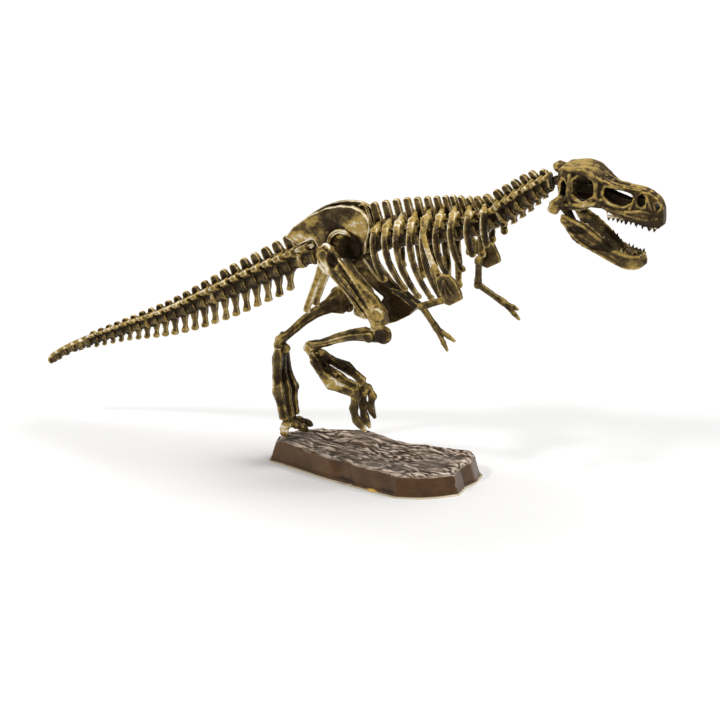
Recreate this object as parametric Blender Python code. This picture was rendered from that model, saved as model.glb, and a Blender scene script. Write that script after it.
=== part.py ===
"""A desk-size moulded plastic skeleton kit of a large two-legged dinosaur, striding on a rock base.

X runs from the tail to the head, Y to the animal's left and Z up. The origin is on the
underside of the base, below the backbone. Sizes are in millimetres until make_object scales them.
"""

import math

import bmesh
import bpy
from mathutils import Vector

MM = 0.001
GAP = 0.3  # clear space between neighbouring pieces
LATERAL = Vector((0.0, 1.0, 0.0))
UP = Vector((0.0, 0.0, 1.0))
AHEAD = Vector((1.0, 0.0, 0.0))
FLAT = math.radians(3.2)  # faces closer than this to one plane become one

# The centres of the vertebrae from the tail's tip to the head, as (x, z).
BACKBONE = (
    (-158.0, 29.3),
    (-150.6, 35.0),
    (-138.2, 42.0),
    (-117.8, 51.7),
    (-96.4, 61.5),
    (-75.1, 73.0),
    (-53.7, 85.1),
    (-32.3, 96.7),
    (-15.5, 103.4),
    (1.5, 108.9),
    (17.0, 113.3),
    (36.9, 118.6),
    (46.0, 121.6),
    (55.0, 126.2),
    (67.0, 135.6),
    (76.7, 143.4),
    (86.5, 150.6),
)

# Sizes of the backbone at some x: centrum below the line, arch above it, half width, and the
# reach of the neural spines, of the chevrons below and of the side processes.
VERTEBRAE = (
    (-157.5, 1.8, 1.8, 1.8, 0.0, 0.0, 0.0),
    (-147.0, 2.0, 2.1, 2.0, 0.0, 2.6, 0.0),
    (-136.0, 2.2, 2.3, 2.2, 3.2, 3.6, 2.9),
    (-123.0, 2.5, 2.7, 2.4, 3.9, 5.0, 3.4),
    (-104.0, 2.9, 3.4, 2.8, 5.2, 8.6, 4.4),
    (-85.0, 3.1, 4.6, 3.1, 7.0, 11.4, 5.2),
    (-66.0, 3.3, 5.7, 3.4, 9.6, 12.2, 5.8),
    (-43.0, 3.5, 6.3, 3.7, 11.4, 11.6, 6.4),
    (-34.0, 3.6, 6.5, 3.6, 12.5, 0.0, 6.4),
    (-14.0, 3.7, 7.0, 3.3, 16.8, 0.0, 0.0),
    (-3.0, 3.7, 7.6, 3.4, 18.0, 0.0, 0.0),
    (20.0, 3.7, 8.0, 3.4, 18.2, 0.0, 0.0),
    (45.0, 3.8, 7.6, 3.5, 16.4, 0.0, 5.6),
    (53.0, 4.2, 6.2, 3.8, 13.2, 0.0, 6.0),
    (62.0, 4.6, 4.8, 4.2, 9.9, 7.4, 6.4),
    (72.0, 4.6, 4.6, 4.2, 9.0, 7.4, 6.4),
    (80.0, 4.2, 4.2, 3.9, 8.6, 6.2, 6.0),
    (86.5, 3.2, 3.4, 3.2, 5.2, 4.0, 4.4),
)
BACK_STEPS = 161
TAIL_GROWTH, TRUNK_GROWTH = 1.018, 0.975  # length of a vertebra to that of the one behind it
WAIST_AT = 0.3  # where a vertebra is thinnest, as a share of its length
WAIST = 0.78  # its thickness there
BOTTOM, RIGHT_SLOPE, TOP, LEFT_SLOPE = 0, 3, 4, 5  # faces round a section of the backbone

# The x where each length of the backbone ends, from the tail's tip to the head.
TAIL_TIP_END = -157.5
LAST_SPINE = -137.8
TAIL_END = -34.0
SACRUM_END = -3.4
TRUNK_END = 62.4
NECK_END = 86.2
TIP_COUNT, TAIL_COUNT, SACRUM_COUNT, TRUNK_COUNT, NECK_COUNT = 5, 22, 5, 14, 6

# The ribs from back to front: x and rise of the bend over the backbone line, the widest reach,
# and the tip as (x, reach, z). One rib is short on the left.
RIBS = (
    (5.6, 8.0, 13.2, (10.6, 9.6, 95.6)),
    (11.2, 9.0, 15.4, (20.6, 9.2, 92.6)),
    (17.0, 10.0, 16.4, (27.0, 8.8, 89.8)),
    (23.7, 10.4, 16.8, (33.2, 8.8, 90.0)),
    (30.4, 10.6, 16.8, (38.0, 8.8, 90.6)),
    (36.9, 10.4, 16.4, (42.8, 9.2, 99.6)),
    (43.4, 10.4, 14.8, (48.6, 10.2, 106.2)),
    (51.0, 8.6, 12.6, (53.4, 10.2, 113.6)),
    (58.2, 6.0, 10.4, (59.6, 9.2, 118.8)),
)
RIB_BEND = 8.8  # half width of the back at the bend of the ribs
RIB_HALVES = ((0.0, 1.5, 1.0), (0.3, 1.9, 1.3), (0.45, 1.8, 1.0), (0.9, 1.8, 1.0), (1.0, 1.2, 0.8))
SHORT_RIB, SHORTER = 5, 7.0

# The hip bones, as outlines in side view (x, z).
ILIUM = (
    (-39.4, 107.0),
    (-35.6, 112.4),
    (-28.0, 118.6),
    (-20.5, 123.0),
    (-14.0, 125.0),
    (-7.6, 125.6),
    (-3.0, 124.2),
    (0.4, 121.0),
    (1.2, 116.4),
    (-0.4, 110.6),
    (-0.8, 105.4),
    (-5.0, 100.8),
    (-17.0, 101.6),
    (-23.0, 104.4),
    (-26.0, 108.4),
    (-33.0, 104.6),
)
ILIUM_INNER, ILIUM_OUTER = 4.3, 6.4
ILIUM_FOOT = 100.0  # the height at which it has that reach
ILIUM_LEAN = 0.05  # how far the blade leans in for each millimetre of height
PUBIS = (
    (-8.4, 5.3, 106.0),
    (-2.6, 5.2, 99.0),
    (4.0, 4.4, 91.4),
    (11.0, 3.6, 86.6),
    (17.0, 2.6, 83.6),
)
PUBIC_BOOT = (
    (6.4, 83.4),
    (9.0, 88.6),
    (14.6, 87.6),
    (22.6, 82.4),
    (20.0, 79.2),
    (13.6, 75.2),
    (9.4, 73.6),
)
ISCHIUM = (
    (-19.6, 5.3, 104.8),
    (-21.6, 5.2, 96.8),
    (-25.6, 5.0, 86.0),
    (-28.7, 4.8, 77.6),
    (-29.6, 4.8, 73.4),
)

# Leg joints as (x, y, z): hip, knee, both ends of the shin, and both ends of the long foot bones.
RIGHT_LEG = (
    (-16.7, -11.6, 105.0),
    (10.2, -15.6, 77.4),
    (12.8, -15.6, 71.9),
    (-26.4, -7.8, 58.9),
    (-24.5, -7.6, 55.6),
    (-2.5, -8.0, 43.8),
)
LEFT_LEG = (
    (-16.7, 11.6, 105.0),
    (-12.9, 16.4, 68.9),
    (-20.6, 16.0, 72.6),
    (-46.4, 3.4, 54.9),
    (-46.2, 3.1, 50.8),
    (-41.3, 2.3, 19.9),
)
RIGHT_TOES = (
    ((-0.2, -4.4, 42.2), (2.2, -4.0, 38.4), (1.0, -4.0, 33.6), (3.4, -4.0, 28.4)),
    ((-1.0, -8.0, 40.2), (-0.4, -8.2, 35.2), (0.2, -8.2, 30.0), (3.0, -8.2, 25.2)),
    ((-2.4, -11.8, 39.2), (-3.2, -12.2, 34.6), (-1.8, -12.2, 29.4), (2.8, -12.0, 24.8)),
)
LEFT_TOES = (
    ((-41.4, -1.2, 17.1), (-41.4, -2.8, 16.2), (-40.8, -3.8, 14.9), (-39.6, -4.6, 13.0)),
    ((-41.0, 2.4, 17.1), (-38.6, 3.6, 16.4), (-36.2, 4.8, 15.0), (-33.8, 5.8, 13.2)),
    ((-41.2, 5.8, 17.2), (-39.2, 8.4, 16.8), (-37.2, 11.0, 15.2), (-35.0, 13.2, 13.4)),
)
TOE_THICK = 2.2  # half

# Shoulder and arm, as (x, reach, z). The arms are posed a little apart.
SCAPULA = (
    (30.0, 11.2, 128.4),
    (32.4, 16.6, 123.4),
    (35.6, 19.4, 116.8),
    (39.4, 20.0, 109.6),
    (42.8, 20.0, 104.0),
)
RIGHT_ARM = ((45.6, 16.9, 95.2), (33.0, 19.2, 90.2), (40.0, 19.2, 81.2))
RIGHT_FINGERS = ((45.6, 19.6, 71.4), (48.8, 18.4, 76.0))
LEFT_ARM = ((43.9, 16.9, 101.4), (42.4, 19.2, 89.4), (54.9, 19.2, 82.8))
CORACOID = (
    (40.8, 104.6),
    (41.2, 101.2),
    (43.3, 96.6),
    (44.8, 93.7),
    (46.9, 93.2),
    (52.8, 96.8),
    (52.3, 99.4),
    (49.6, 104.6),
    (46.7, 106.9),
    (42.8, 106.8),
)
CORACOID_RISE = {-1.0: 0.0, 1.0: 4.4}  # how much higher the broad plate is set, by side
ELBOW_GAP = 2.0
LEFT_FINGERS = ((62.4, 18.4, 80.8), (62.4, 19.8, 75.6))

# The skull's sections: x, lowest z, highest z, half width below and above.
SKULL = (
    (91.4, 147.0, 157.6, 4.6, 3.8),
    (93.8, 142.8, 159.6, 7.8, 5.8),
    (98.6, 141.2, 160.2, 8.6, 6.8),
    (103.2, 141.4, 160.6, 8.3, 7.2),
    (108.2, 143.4, 159.2, 7.4, 6.6),
    (113.0, 143.4, 156.2, 6.5, 5.2),
    (118.0, 140.8, 153.9, 5.6, 4.0),
    (124.0, 138.8, 153.4, 5.0, 3.4),
    (130.0, 137.6, 153.2, 4.7, 3.0),
    (134.2, 136.9, 152.4, 4.3, 2.7),
    (138.2, 136.5, 150.0, 3.4, 2.2),
    (140.6, 138.6, 146.0, 1.8, 1.3),
)
SKULL_WALL = 1.3
SKULL_HOLLOW = (96.0, 98.6, 103.2, 108.2, 113.0, 118.0, 124.0, 133.0)  # x of its inner sections
CUTTER = 14.0  # half length of what cuts the openings
ORBIT = (104.6, 151.9, 5.4, 6.2)
TEMPORAL_OPENING = (95.2, 150.0, 1.9, 4.6)
SNOUT_PIT = (130.9, 149.0, 2.2, 2.9)
NOSTRIL = (138.2, 146.6, 1.1, 1.9)
ANTORBITAL = (
    (113.6, 149.4),
    (114.2, 153.8),
    (119.0, 152.2),
    (126.6, 151.6),
    (127.4, 147.8),
    (122.6, 145.2),
    (117.4, 146.0),
)
BRAINCASE = (
    (92.6, 152.0, 2.6, 4.0),
    (98.6, 153.6, 3.4, 4.6),
    (105.0, 156.0, 2.6, 3.2),
    (111.0, 155.6, 1.6, 1.4),
)
QUADRATE = ((95.2, 7.4, 146.4), (91.6, 8.2, 142.0), (90.6, 8.2, 139.0))
CONDYLE = ((95.0, 150.8, 1.9, 1.9), (88.4, 151.0, 2.0, 2.2), (87.0, 151.0, 1.0, 1.2))
NUCHAL_KNOB = ((94.0, 157.0, 3.6, 2.4), (89.6, 157.6, 3.4, 2.6), (87.8, 157.2, 1.8, 1.6))

# The right half of the lower jaw from hinge to chin: x, reach, middle z, half height, half wall.
JAW = (
    (94.8, 7.4, 137.0, 1.6, 1.3),
    (98.6, 7.0, 134.2, 3.6, 1.2),
    (103.0, 6.4, 131.0, 5.4, 1.1),
    (108.0, 5.8, 128.0, 5.0, 1.1),
    (113.2, 5.2, 125.0, 4.1, 1.2),
    (118.2, 4.6, 121.8, 3.2, 1.3),
    (122.6, 4.0, 120.2, 3.5, 1.4),
    (127.0, 3.2, 119.6, 3.6, 1.5),
    (130.0, 1.9, 120.2, 3.0, 1.4),
    (131.0, 0.0, 120.6, 2.7, 1.3),
)
TOOTH, TOOTH_WIDE = 2.3, 0.8
TEETH_IN_ROW = 9
UPPER_TEETH, LOWER_TEETH = (115.4, 137.0), (114.0, 129.4)  # x of the last and the first tooth

# The rock: its foot and its upper edge, as (x, y), anticlockwise from the near left corner.
ROCK_TOP = (
    (-45.0, -3.6),
    (-32.0, -6.8),
    (-14.0, -12.2),
    (4.0, -17.0),
    (20.6, -20.6),
    (30.0, -17.6),
    (36.4, -13.2),
    (42.6, -7.0),
    (41.4, 2.0),
    (43.0, 9.0),
    (42.0, 17.6),
    (37.0, 23.2),
    (20.0, 22.0),
    (3.4, 20.0),
    (-14.0, 22.6),
    (-32.0, 19.0),
    (-44.0, 13.6),
    (-47.2, 5.0),
)
ROCK_HIGH = 10.9
ROCK_DRAFT = 2.0
ROCK_END_DRAFT = 3.6
HUMP = (-19.0, 19.0, 13.0, 7.0)  # x, y and reach along each

BONE = (0.20, 0.135, 0.04)
ROCK = (0.10, 0.045, 0.02)
ROUGHNESS = 0.38


def slope_value(rows, x, column):
    """The value of a column of rows at x, on straight runs between the rows."""
    if x <= rows[0][0]:
        return rows[0][column]
    for low, high in zip(rows, rows[1:]):
        if x <= high[0]:
            share = (x - low[0]) / (high[0] - low[0])
            return low[column] + (high[column] - low[column]) * share
    return rows[-1][column]


def curve_through(points, count):
    """count points evenly spread by parameter on a smooth curve through the given ones."""
    keys = [Vector(point) for point in points]
    keys = [2 * keys[0] - keys[1], *keys, 2 * keys[-1] - keys[-2]]
    spans = len(keys) - 3
    found = []
    for step in range(count):
        place = step / (count - 1) * spans
        first = min(int(place), spans - 1)
        t = place - first
        a, b, c, d = keys[first : first + 4]
        found.append(
            0.5 * (2 * b + (c - a) * t + (2 * a - 5 * b + 4 * c - d) * t * t + (3 * b - a - 3 * c + d) * t**3)
        )
    return found


BACK_CURVE = [(point.x, point.y) for point in curve_through([(x, z, 0.0) for x, z in BACKBONE], BACK_STEPS)]


def back(x):
    """The point of the backbone at x, and the direction of the backbone there."""
    reach = 2.0
    height = [slope_value(BACK_CURVE, x + step, 1) for step in (-reach, 0.0, reach)]
    return Vector((x, 0.0, height[1])), Vector((2 * reach, 0.0, height[2] - height[0])).normalized()


def make_object(name, bm, colour=BONE):
    """Turns a bmesh in millimetres into a named object in metres, with its own material."""
    bmesh.ops.recalc_face_normals(bm, faces=bm.faces)
    bmesh.ops.scale(bm, vec=(MM, MM, MM), verts=bm.verts)
    mesh = bpy.data.meshes.new(name)
    bm.to_mesh(mesh)
    bm.free()
    material = bpy.data.materials.new(f"{name}_plastic")
    material.use_nodes = True
    shader = material.node_tree.nodes["Principled BSDF"]
    shader.inputs["Base Color"].default_value = (*colour, 1.0)
    shader.inputs["Roughness"].default_value = ROUGHNESS
    shader.inputs["Metallic"].default_value = 0.0
    mesh.materials.append(material)
    made = bpy.data.objects.new(name, mesh)
    bpy.context.collection.objects.link(made)
    return made


def combine(name, operation, base, others, colour=BONE):
    """Joins shapes to the base, or cuts them from it, and returns the result as a bmesh."""
    body = make_object(name, base, colour)
    tool_bm = bmesh.new()
    for other in others:
        piece = bpy.data.meshes.new("piece")
        bmesh.ops.recalc_face_normals(other, faces=other.faces)
        other.to_mesh(piece)
        other.free()
        tool_bm.from_mesh(piece)
        bpy.data.meshes.remove(piece)
    bmesh.ops.scale(tool_bm, vec=(MM, MM, MM), verts=tool_bm.verts)
    tool_mesh = bpy.data.meshes.new("tool")
    tool_bm.to_mesh(tool_mesh)
    tool_bm.free()
    tool = bpy.data.objects.new("tool", tool_mesh)
    bpy.context.collection.objects.link(tool)
    cut = body.modifiers.new("combine", "BOOLEAN")
    cut.operation = operation
    cut.solver = "EXACT"
    cut.use_self = True
    cut.object = tool
    bpy.context.view_layer.update()
    shape = body.evaluated_get(bpy.context.evaluated_depsgraph_get()).to_mesh()
    result = bmesh.new()
    result.from_mesh(shape)
    bpy.data.objects.remove(body)
    bpy.data.objects.remove(tool)
    bmesh.ops.scale(result, vec=(1 / MM, 1 / MM, 1 / MM), verts=result.verts)
    bmesh.ops.remove_doubles(result, verts=result.verts, dist=0.004)
    bmesh.ops.dissolve_degenerate(result, edges=result.edges, dist=0.004)
    bmesh.ops.dissolve_limit(result, angle_limit=FLAT, verts=result.verts, edges=result.edges)
    bmesh.ops.triangulate(result, faces=result.faces)
    return result


def loft(bm, rings):
    """Skins a list of rings of points and closes both ends. Returns the side faces by ring."""
    rows = [[bm.verts.new(point) for point in ring] for ring in rings]
    count = len(rows[0])
    sides = []
    for low, high in zip(rows, rows[1:]):
        faces = []
        for i in range(count):
            after = (i + 1) % count
            faces.append(bm.faces.new((low[i], low[after], high[after], high[i])))
        sides.append(faces)
    bm.faces.new(rows[0][::-1])
    bm.faces.new(rows[-1])
    return sides


def tube(stations, reference, sides=6, turn=0.0):
    """A bone whose stations are (centre, half size along the reference, half size across it)."""
    bm = bmesh.new()
    centres = [Vector(station[0]) for station in stations]
    rings = []
    for i, (_, along, across) in enumerate(stations):
        forward = (centres[min(i + 1, len(centres) - 1)] - centres[max(i - 1, 0)]).normalized()
        first = (reference - forward * reference.dot(forward)).normalized()
        second = forward.cross(first)
        ring = []
        for step in range(sides):
            angle = turn + math.tau * step / sides
            ring.append(centres[i] + first * along * math.cos(angle) + second * across * math.sin(angle))
        rings.append(ring)
    loft(bm, rings)
    return bm


def strap(points, halves, reference, count, sides=4):
    """A tube of changing size on a smooth curve; halves are (share, along, across) rows."""
    places = curve_through(points, count)
    stations = []
    for i, place in enumerate(places):
        share = i / (count - 1)
        stations.append((place, slope_value(halves, share, 1), slope_value(halves, share, 2)))
    return tube(stations, reference, sides, math.pi / sides)


def plate(outline, inner, outer, lean=0.0, foot=0.0):
    """A flat bone with an outline in side view, between two reaches to the side of the middle."""
    bm = bmesh.new()
    way = math.copysign(1.0, outer)
    rings = []
    for reach in (inner, outer):
        rings.append([Vector((x, reach - lean * (z - foot) * way, z)) for x, z in outline])
    loft(bm, rings)
    return bm


def grow(bm, face, moves):
    """Extrudes a face again and again; each move is (offset, share of its length, share of its width)."""
    for offset, long, wide in moves:
        face = bmesh.ops.extrude_discrete_faces(bm, faces=[face])["faces"][0]
        centre = face.calc_center_median()
        _, ahead = back(centre.x)
        for vert in face.verts:
            arm = vert.co - centre
            along = ahead * arm.dot(ahead)
            across = arm - along
            vert.co = centre + offset + along * long + across * wide
    return face


def section(x, share, side):
    """A ring round the backbone at x, thinned to a share; side is 0, or 1 or -1 for one half of it."""
    centre, ahead = back(x)
    up = ahead.cross(LATERAL)
    below, arch, half = (slope_value(VERTEBRAE, x, column) for column in (1, 2, 3))
    below *= share
    half *= share
    outer = ((0.42 * half, -below), (half, -0.32 * below), (half, 0.36 * arch), (0.4 * half, arch))
    if side:
        outline = [(GAP / 2, -below), *outer, (GAP / 2, arch)]
    else:
        side = 1.0
        outline = [(-outer[0][0], outer[0][1]), *outer, *((-out, rise) for out, rise in outer[:0:-1])]
    return [centre + LATERAL * side * out + up * rise for out, rise in outline]


def vertebra_ends(start, end, count, growth=1.0):
    """The x of each joint between count vertebrae, each one growth times as long as the one behind."""
    lengths = [growth**i for i in range(count)]
    scale = (end - start) / sum(lengths)
    marks = [start]
    for length in lengths:
        marks.append(marks[-1] + length * scale)
    return marks


def column(marks, side=0):
    """A length of backbone with its spines, side processes and chevrons, or one half of it."""
    bm = bmesh.new()
    rings = []
    for low, high in zip(marks, marks[1:]):
        rings.append(section(low, 1.0, side))
        rings.append(section(low + (high - low) * WAIST_AT, WAIST, side))
    rings.append(section(marks[-1], 1.0, side))
    sides = loft(bm, rings)
    for i, (low, high) in enumerate(zip(marks, marks[1:])):
        middle = 0.5 * (low + high)
        _, ahead = back(middle)
        up = ahead.cross(LATERAL)
        below, arch, half, spine, chevron, process = (slope_value(VERTEBRAE, middle, c) for c in range(1, 7))
        faces = sides[2 * i + 1]
        rise = spine - arch
        if rise > 0.5:
            thin = 1.0 if side else 0.9
            grow(bm, faces[TOP], ((up * rise, 0.8, thin),))
        if process - half > 0.5:
            slopes = ((RIGHT_SLOPE, side),) if side else ((RIGHT_SLOPE, 1.0), (LEFT_SLOPE, -1.0))
            for place, way in slopes:
                out = LATERAL * way * (process - 0.7 * half) + up * 0.12 * arch
                grow(bm, faces[place], ((out, 0.62, 0.42),))
        drop = chevron - below
        if drop > 0.5:
            hang = up * -1.0 - ahead * 0.42
            blade = hang * drop * 0.45 - ahead * 0.3
            grow(bm, faces[BOTTOM], ((hang * drop * 0.55, 0.5, 0.62), (blade, 1.7, 1.1)))
    return bm


def rib(row, side):
    """One rib from the side of the backbone out to its bend and down to its tip."""
    x, rise, reach, tip = row
    if side > 0 and row is RIBS[SHORT_RIB]:
        tip = (tip[0], tip[1], tip[2] + SHORTER)
    top = back(x)[0].z
    high = top + rise
    drop = high - tip[2]
    run = tip[0] - x
    points = [
        (x - 1.2, side * 0.8, top + 0.5 * rise),
        (x - 0.4, side * RIB_BEND * 0.62, high - 0.4),
        (x + 0.2, side * (RIB_BEND + 0.28 * (reach - RIB_BEND)), high - 0.03 * drop),
        (x + 0.16 * run, side * reach * 0.93, high - 0.2 * drop),
        (x + 0.4 * run, side * reach, high - 0.46 * drop),
        (x + 0.7 * run, side * (0.35 * tip[1] + 0.65 * reach), high - 0.74 * drop),
        (tip[0], side * tip[1], tip[2]),
    ]
    return strap(points, RIB_HALVES, AHEAD, len(points))


def trunk(side, name):
    """One side of the rib cage: half of the trunk's backbone with its ribs."""
    marks = vertebra_ends(SACRUM_END + GAP, TRUNK_END, TRUNK_COUNT, TRUNK_GROWTH)
    body = column(marks, side)
    ribs = [rib(row, side) for row in RIBS]
    return make_object(name, combine(name, "UNION", body, ribs))


def pelvis(side, name):
    """One hip bone: the blade, the pubis with its half of the boot, and the ischium."""
    blade = plate(ILIUM, side * ILIUM_INNER, side * ILIUM_OUTER, ILIUM_LEAN, ILIUM_FOOT)
    pubis_halves = ((0.0, 4.4, 0.9), (0.3, 3.3, 1.2), (0.7, 2.6, 1.2), (1.0, 2.6, 1.1))
    pubis = strap([(x, side * y, z) for x, y, z in PUBIS], pubis_halves, UP, 6, 6)
    ischium_halves = ((0.0, 3.2, 0.9), (0.3, 1.9, 1.1), (0.7, 1.5, 1.0), (1.0, 1.9, 1.1))
    ischium = strap([(x, side * y, z) for x, y, z in ISCHIUM], ischium_halves, AHEAD, 6, 6)
    boot = plate(PUBIC_BOOT, side * GAP / 2, side * 4.4)
    return make_object(name, combine(name, "UNION", blade, [pubis, ischium, boot]))


def bone(start, end, outward, profile, sides=8):
    """A limb bone between two joints; profile rows are (share, ahead, out, half depth, half width)."""
    start, end = Vector(start), Vector(end)
    axis = (end - start).normalized()
    out = (outward - axis * outward.dot(axis)).normalized()
    front = out.cross(axis)
    if front.x < 0:
        front.negate()
    stations = []
    for share, ahead, beside, deep, wide in profile:
        centre = start + (end - start) * share + front * ahead + out * beside
        stations.append((centre, deep, wide))
    return tube(stations, front, sides, math.pi / sides)


FEMUR = (
    (-0.09, 0.6, -0.2, 2.4, 1.8),
    (-0.03, -0.6, 0.0, 4.6, 3.0),
    (0.08, -1.0, 0.2, 5.2, 3.3),
    (0.24, -0.3, 0.2, 4.6, 2.9),
    (0.40, 0.4, 0.1, 4.4, 2.6),
    (0.55, 1.3, 0.0, 4.4, 2.6),
    (0.76, 2.8, 0.0, 5.3, 3.3),
    (0.93, 2.4, 0.0, 4.9, 3.8),
    (1.03, 0.4, 0.0, 4.2, 3.2),
)
# The shin bone as (share, edge in front, edge behind, half width). Its head is set by side, as the
# knees are bent differently.
TIBIA_HEAD = {
    -1.0: ((-0.08, -0.4, 3.6, 2.0), (-0.02, -2.0, 5.0, 3.2), (0.08, -2.3, 2.6, 3.2)),
    1.0: ((-0.07, -3.4, 1.0, 2.2), (0.03, -5.0, 8.8, 3.2)),
}
TIBIA = (
    (0.22, -1.2, 5.6, 2.7),
    (0.40, 0.0, 5.2, 2.3),
    (0.60, -0.2, 4.3, 2.2),
    (0.84, -1.4, 2.4, 2.5),
    (1.01, -2.4, 2.4, 3.2),
    (1.055, -2.6, 0.6, 2.6),
)
FIBULA = ((0.1, -1.8, 3.0, 1.8, 1.0), (0.38, -2.6, 2.6, 1.2, 0.9), (0.88, -0.6, 2.3, 1.1, 0.9))
METATARSAL = (
    (-0.03, 0.0, 0.0, 1.7, 1.9),
    (0.1, 0.0, 0.3, 2.9, 1.8),
    (0.34, -0.4, 0.6, 2.3, 1.5),
    (0.58, 0.0, 1.2, 3.2, 2.0),
    (0.76, 0.2, 0.9, 2.3, 1.6),
    (0.99, 0.2, 0.85, 2.5, 1.7),
)
BOW_AT = 0.85  # half of this from the ankle, as a share, to the deepest bow
METATARSAL_ROOT, METATARSAL_SPREAD = 1.9, 2.6  # sideways, at the ankle and added by the middle
# How far forward each of the three bones bows, from -Y to +Y, by side.
METATARSAL_BOW = {-1.0: (-4.6, -2.6, 1.2), 1.0: (-1.2, 0.0, 0.8)}


def thigh(leg, side, name):
    """The femur with the head that turns in to the hip bone."""
    outward = LATERAL * side
    shaft = bone(leg[0], leg[1], outward, FEMUR)
    hip = Vector(leg[0])
    head_end = Vector((hip.x, side * (ILIUM_OUTER + GAP), hip.z))
    head = tube(((hip, 3.4, 3.4), (hip.lerp(head_end, 0.6), 2.9, 2.9), (head_end, 2.2, 2.2)), UP, 8)
    return make_object(name, combine(name, "UNION", shaft, [head]))


def shin(leg, side, name):
    """The tibia with the thin fibula on its outer side."""
    outward = LATERAL * side
    rows = []
    for share, low, high, wide in (*TIBIA_HEAD[side], *TIBIA):
        rows.append((share, -0.5 * (low + high), 0.0, 0.5 * (high - low), wide))
    tibia = bone(leg[2], leg[3], outward, rows)
    fibula = bone(leg[2], leg[3], outward, FIBULA, 4)
    return make_object(name, combine(name, "UNION", tibia, [fibula]))


def foot(leg, side, name):
    """Three long foot bones side by side, grown together at the ankle and spread at the toes."""
    bones = []
    for way, bow in zip((-1.0, 0.0, 1.0), METATARSAL_BOW[side]):
        rows = []
        for share, ahead, wander, deep, wide in METATARSAL:
            beside = way * (METATARSAL_ROOT + METATARSAL_SPREAD * wander)
            rows.append((share, ahead + bow * math.sin(math.pi * share * BOW_AT), beside, deep, wide))
        bones.append(bone(leg[4], leg[5], LATERAL, rows, 5))
    return make_object(name, combine(name, "UNION", bones[1], [bones[0], bones[2]]))


def toe(points, thick):
    """A toe of three joints that ends in a claw."""
    places = curve_through(points, 7)
    sizes = (1.0, 0.72, 0.98, 0.68, 0.92, 0.72, 0.3)
    stations = [(place, thick * size * 1.1, thick * size) for place, size in zip(places, sizes)]
    return tube(stations, AHEAD, 5, 0.5)


def toes(rows, name):
    """The three toes, joined at the ball of the foot."""
    first, middle, last = (Vector(row[0]) for row in rows)
    out = (last - first).normalized()
    block = tube(((first - out * 1.8, 1.4, 1.4), (middle, 1.9, 1.9), (last + out * 1.8, 1.4, 1.4)), UP, 5)
    return make_object(name, combine(name, "UNION", block, [toe(row, TOE_THICK) for row in rows]))


def shoulder(side, name):
    """The strap-like shoulder blade with the broad plate at its lower end."""
    halves = ((0.0, 1.7, 0.8), (0.5, 1.4, 0.8), (0.85, 1.8, 0.9), (1.0, 3.0, 1.0))
    blade = strap([(x, side * y, z) for x, y, z in SCAPULA], halves, AHEAD, 8)
    reach = SCAPULA[-1][1]
    outline = [(x, z + CORACOID_RISE[side]) for x, z in CORACOID]
    broad = plate(outline, side * (reach - 1.1), side * (reach + 1.1))
    return make_object(name, combine(name, "UNION", blade, [broad]))


HUMERUS = ((0.0, 1.5, 1.3), (0.15, 1.6, 1.4), (0.5, 1.2, 1.1), (0.86, 1.9, 1.5), (1.05, 1.3, 1.1))
FOREARM = ((0.04, 1.0, 1.0), (0.16, 1.5, 1.3), (0.5, 1.1, 1.0), (0.9, 1.8, 1.2), (1.1, 1.2, 1.0))
FINGER = ((0.0, 0.9, 0.9), (0.35, 1.1, 1.0), (0.5, 0.85, 0.8), (0.72, 1.1, 1.0), (1.0, 0.5, 0.5))


def arm_bone(start, end, side, halves, sides):
    """A straight bone of the arm; halves are (share, half depth, half width) rows."""
    profile = [(share, 0.0, 0.0, deep, wide) for share, deep, wide in halves]
    return bone(start, end, LATERAL * side, profile, sides)


def upper_arm(arm, side, name):
    """The humerus."""
    start, end = (Vector((x, side * y, z)) for x, y, z in arm[:2])
    return make_object(name, arm_bone(start, end, side, HUMERUS, 6))


def hand(arm, fingers, side, name):
    """The forearm, the wrist and two clawed fingers."""
    elbow, wrist = (Vector((x, side * y, z)) for x, y, z in arm[1:])
    elbow = elbow + (wrist - elbow).normalized() * ELBOW_GAP
    forearm = arm_bone(elbow, wrist, side, FOREARM, 6)
    made = [arm_bone(wrist, Vector((x, side * y, z)), side, FINGER, 4) for x, y, z in fingers]
    return make_object(name, combine(name, "UNION", forearm, made))


def skull_ring(x, low, high, below, above, wall):
    """A section of the skull, drawn in by a wall, as points round it."""
    below, above = max(below - wall, 0.3), max(above - wall, 0.3)
    top = high - wall
    points = (
        (0.0, top + 0.2),
        (above, top),
        (0.45 * above + 0.55 * below, low + 0.62 * (top - low)),
        (below, low + 0.3 * (top - low)),
        (below - 0.7 * min(below, 1.0), low),
    )
    right = [Vector((x, -y, z)) for y, z in points]
    left = [Vector((x, y, z)) for y, z in points[:0:-1]]
    return [*right, *left]


def window(x, z, half_long, half_high, sides=6):
    """A cutter across the skull with a round outline."""
    angles = [math.tau * (step + 0.5) / sides for step in range(sides)]
    outline = [(x + half_long * math.cos(angle), z + half_high * math.sin(angle)) for angle in angles]
    return plate(outline, -CUTTER, CUTTER)


def tooth(root, wide, long):
    """One pointed tooth that hangs from its root, or stands on it where long is negative."""
    bm = bmesh.new()
    sides = 4
    base = []
    for step in range(sides):
        angle = math.tau * (step + 0.5) / sides
        base.append(bm.verts.new(root + Vector((wide * math.cos(angle), wide * 0.8 * math.sin(angle), 0.0))))
    tip = bm.verts.new(root + Vector((-0.25 * wide, 0.0, -long)))
    bm.faces.new(base)
    for i in range(sides):
        bm.faces.new((base[i], base[(i + 1) % sides], tip))
    return bm


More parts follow.
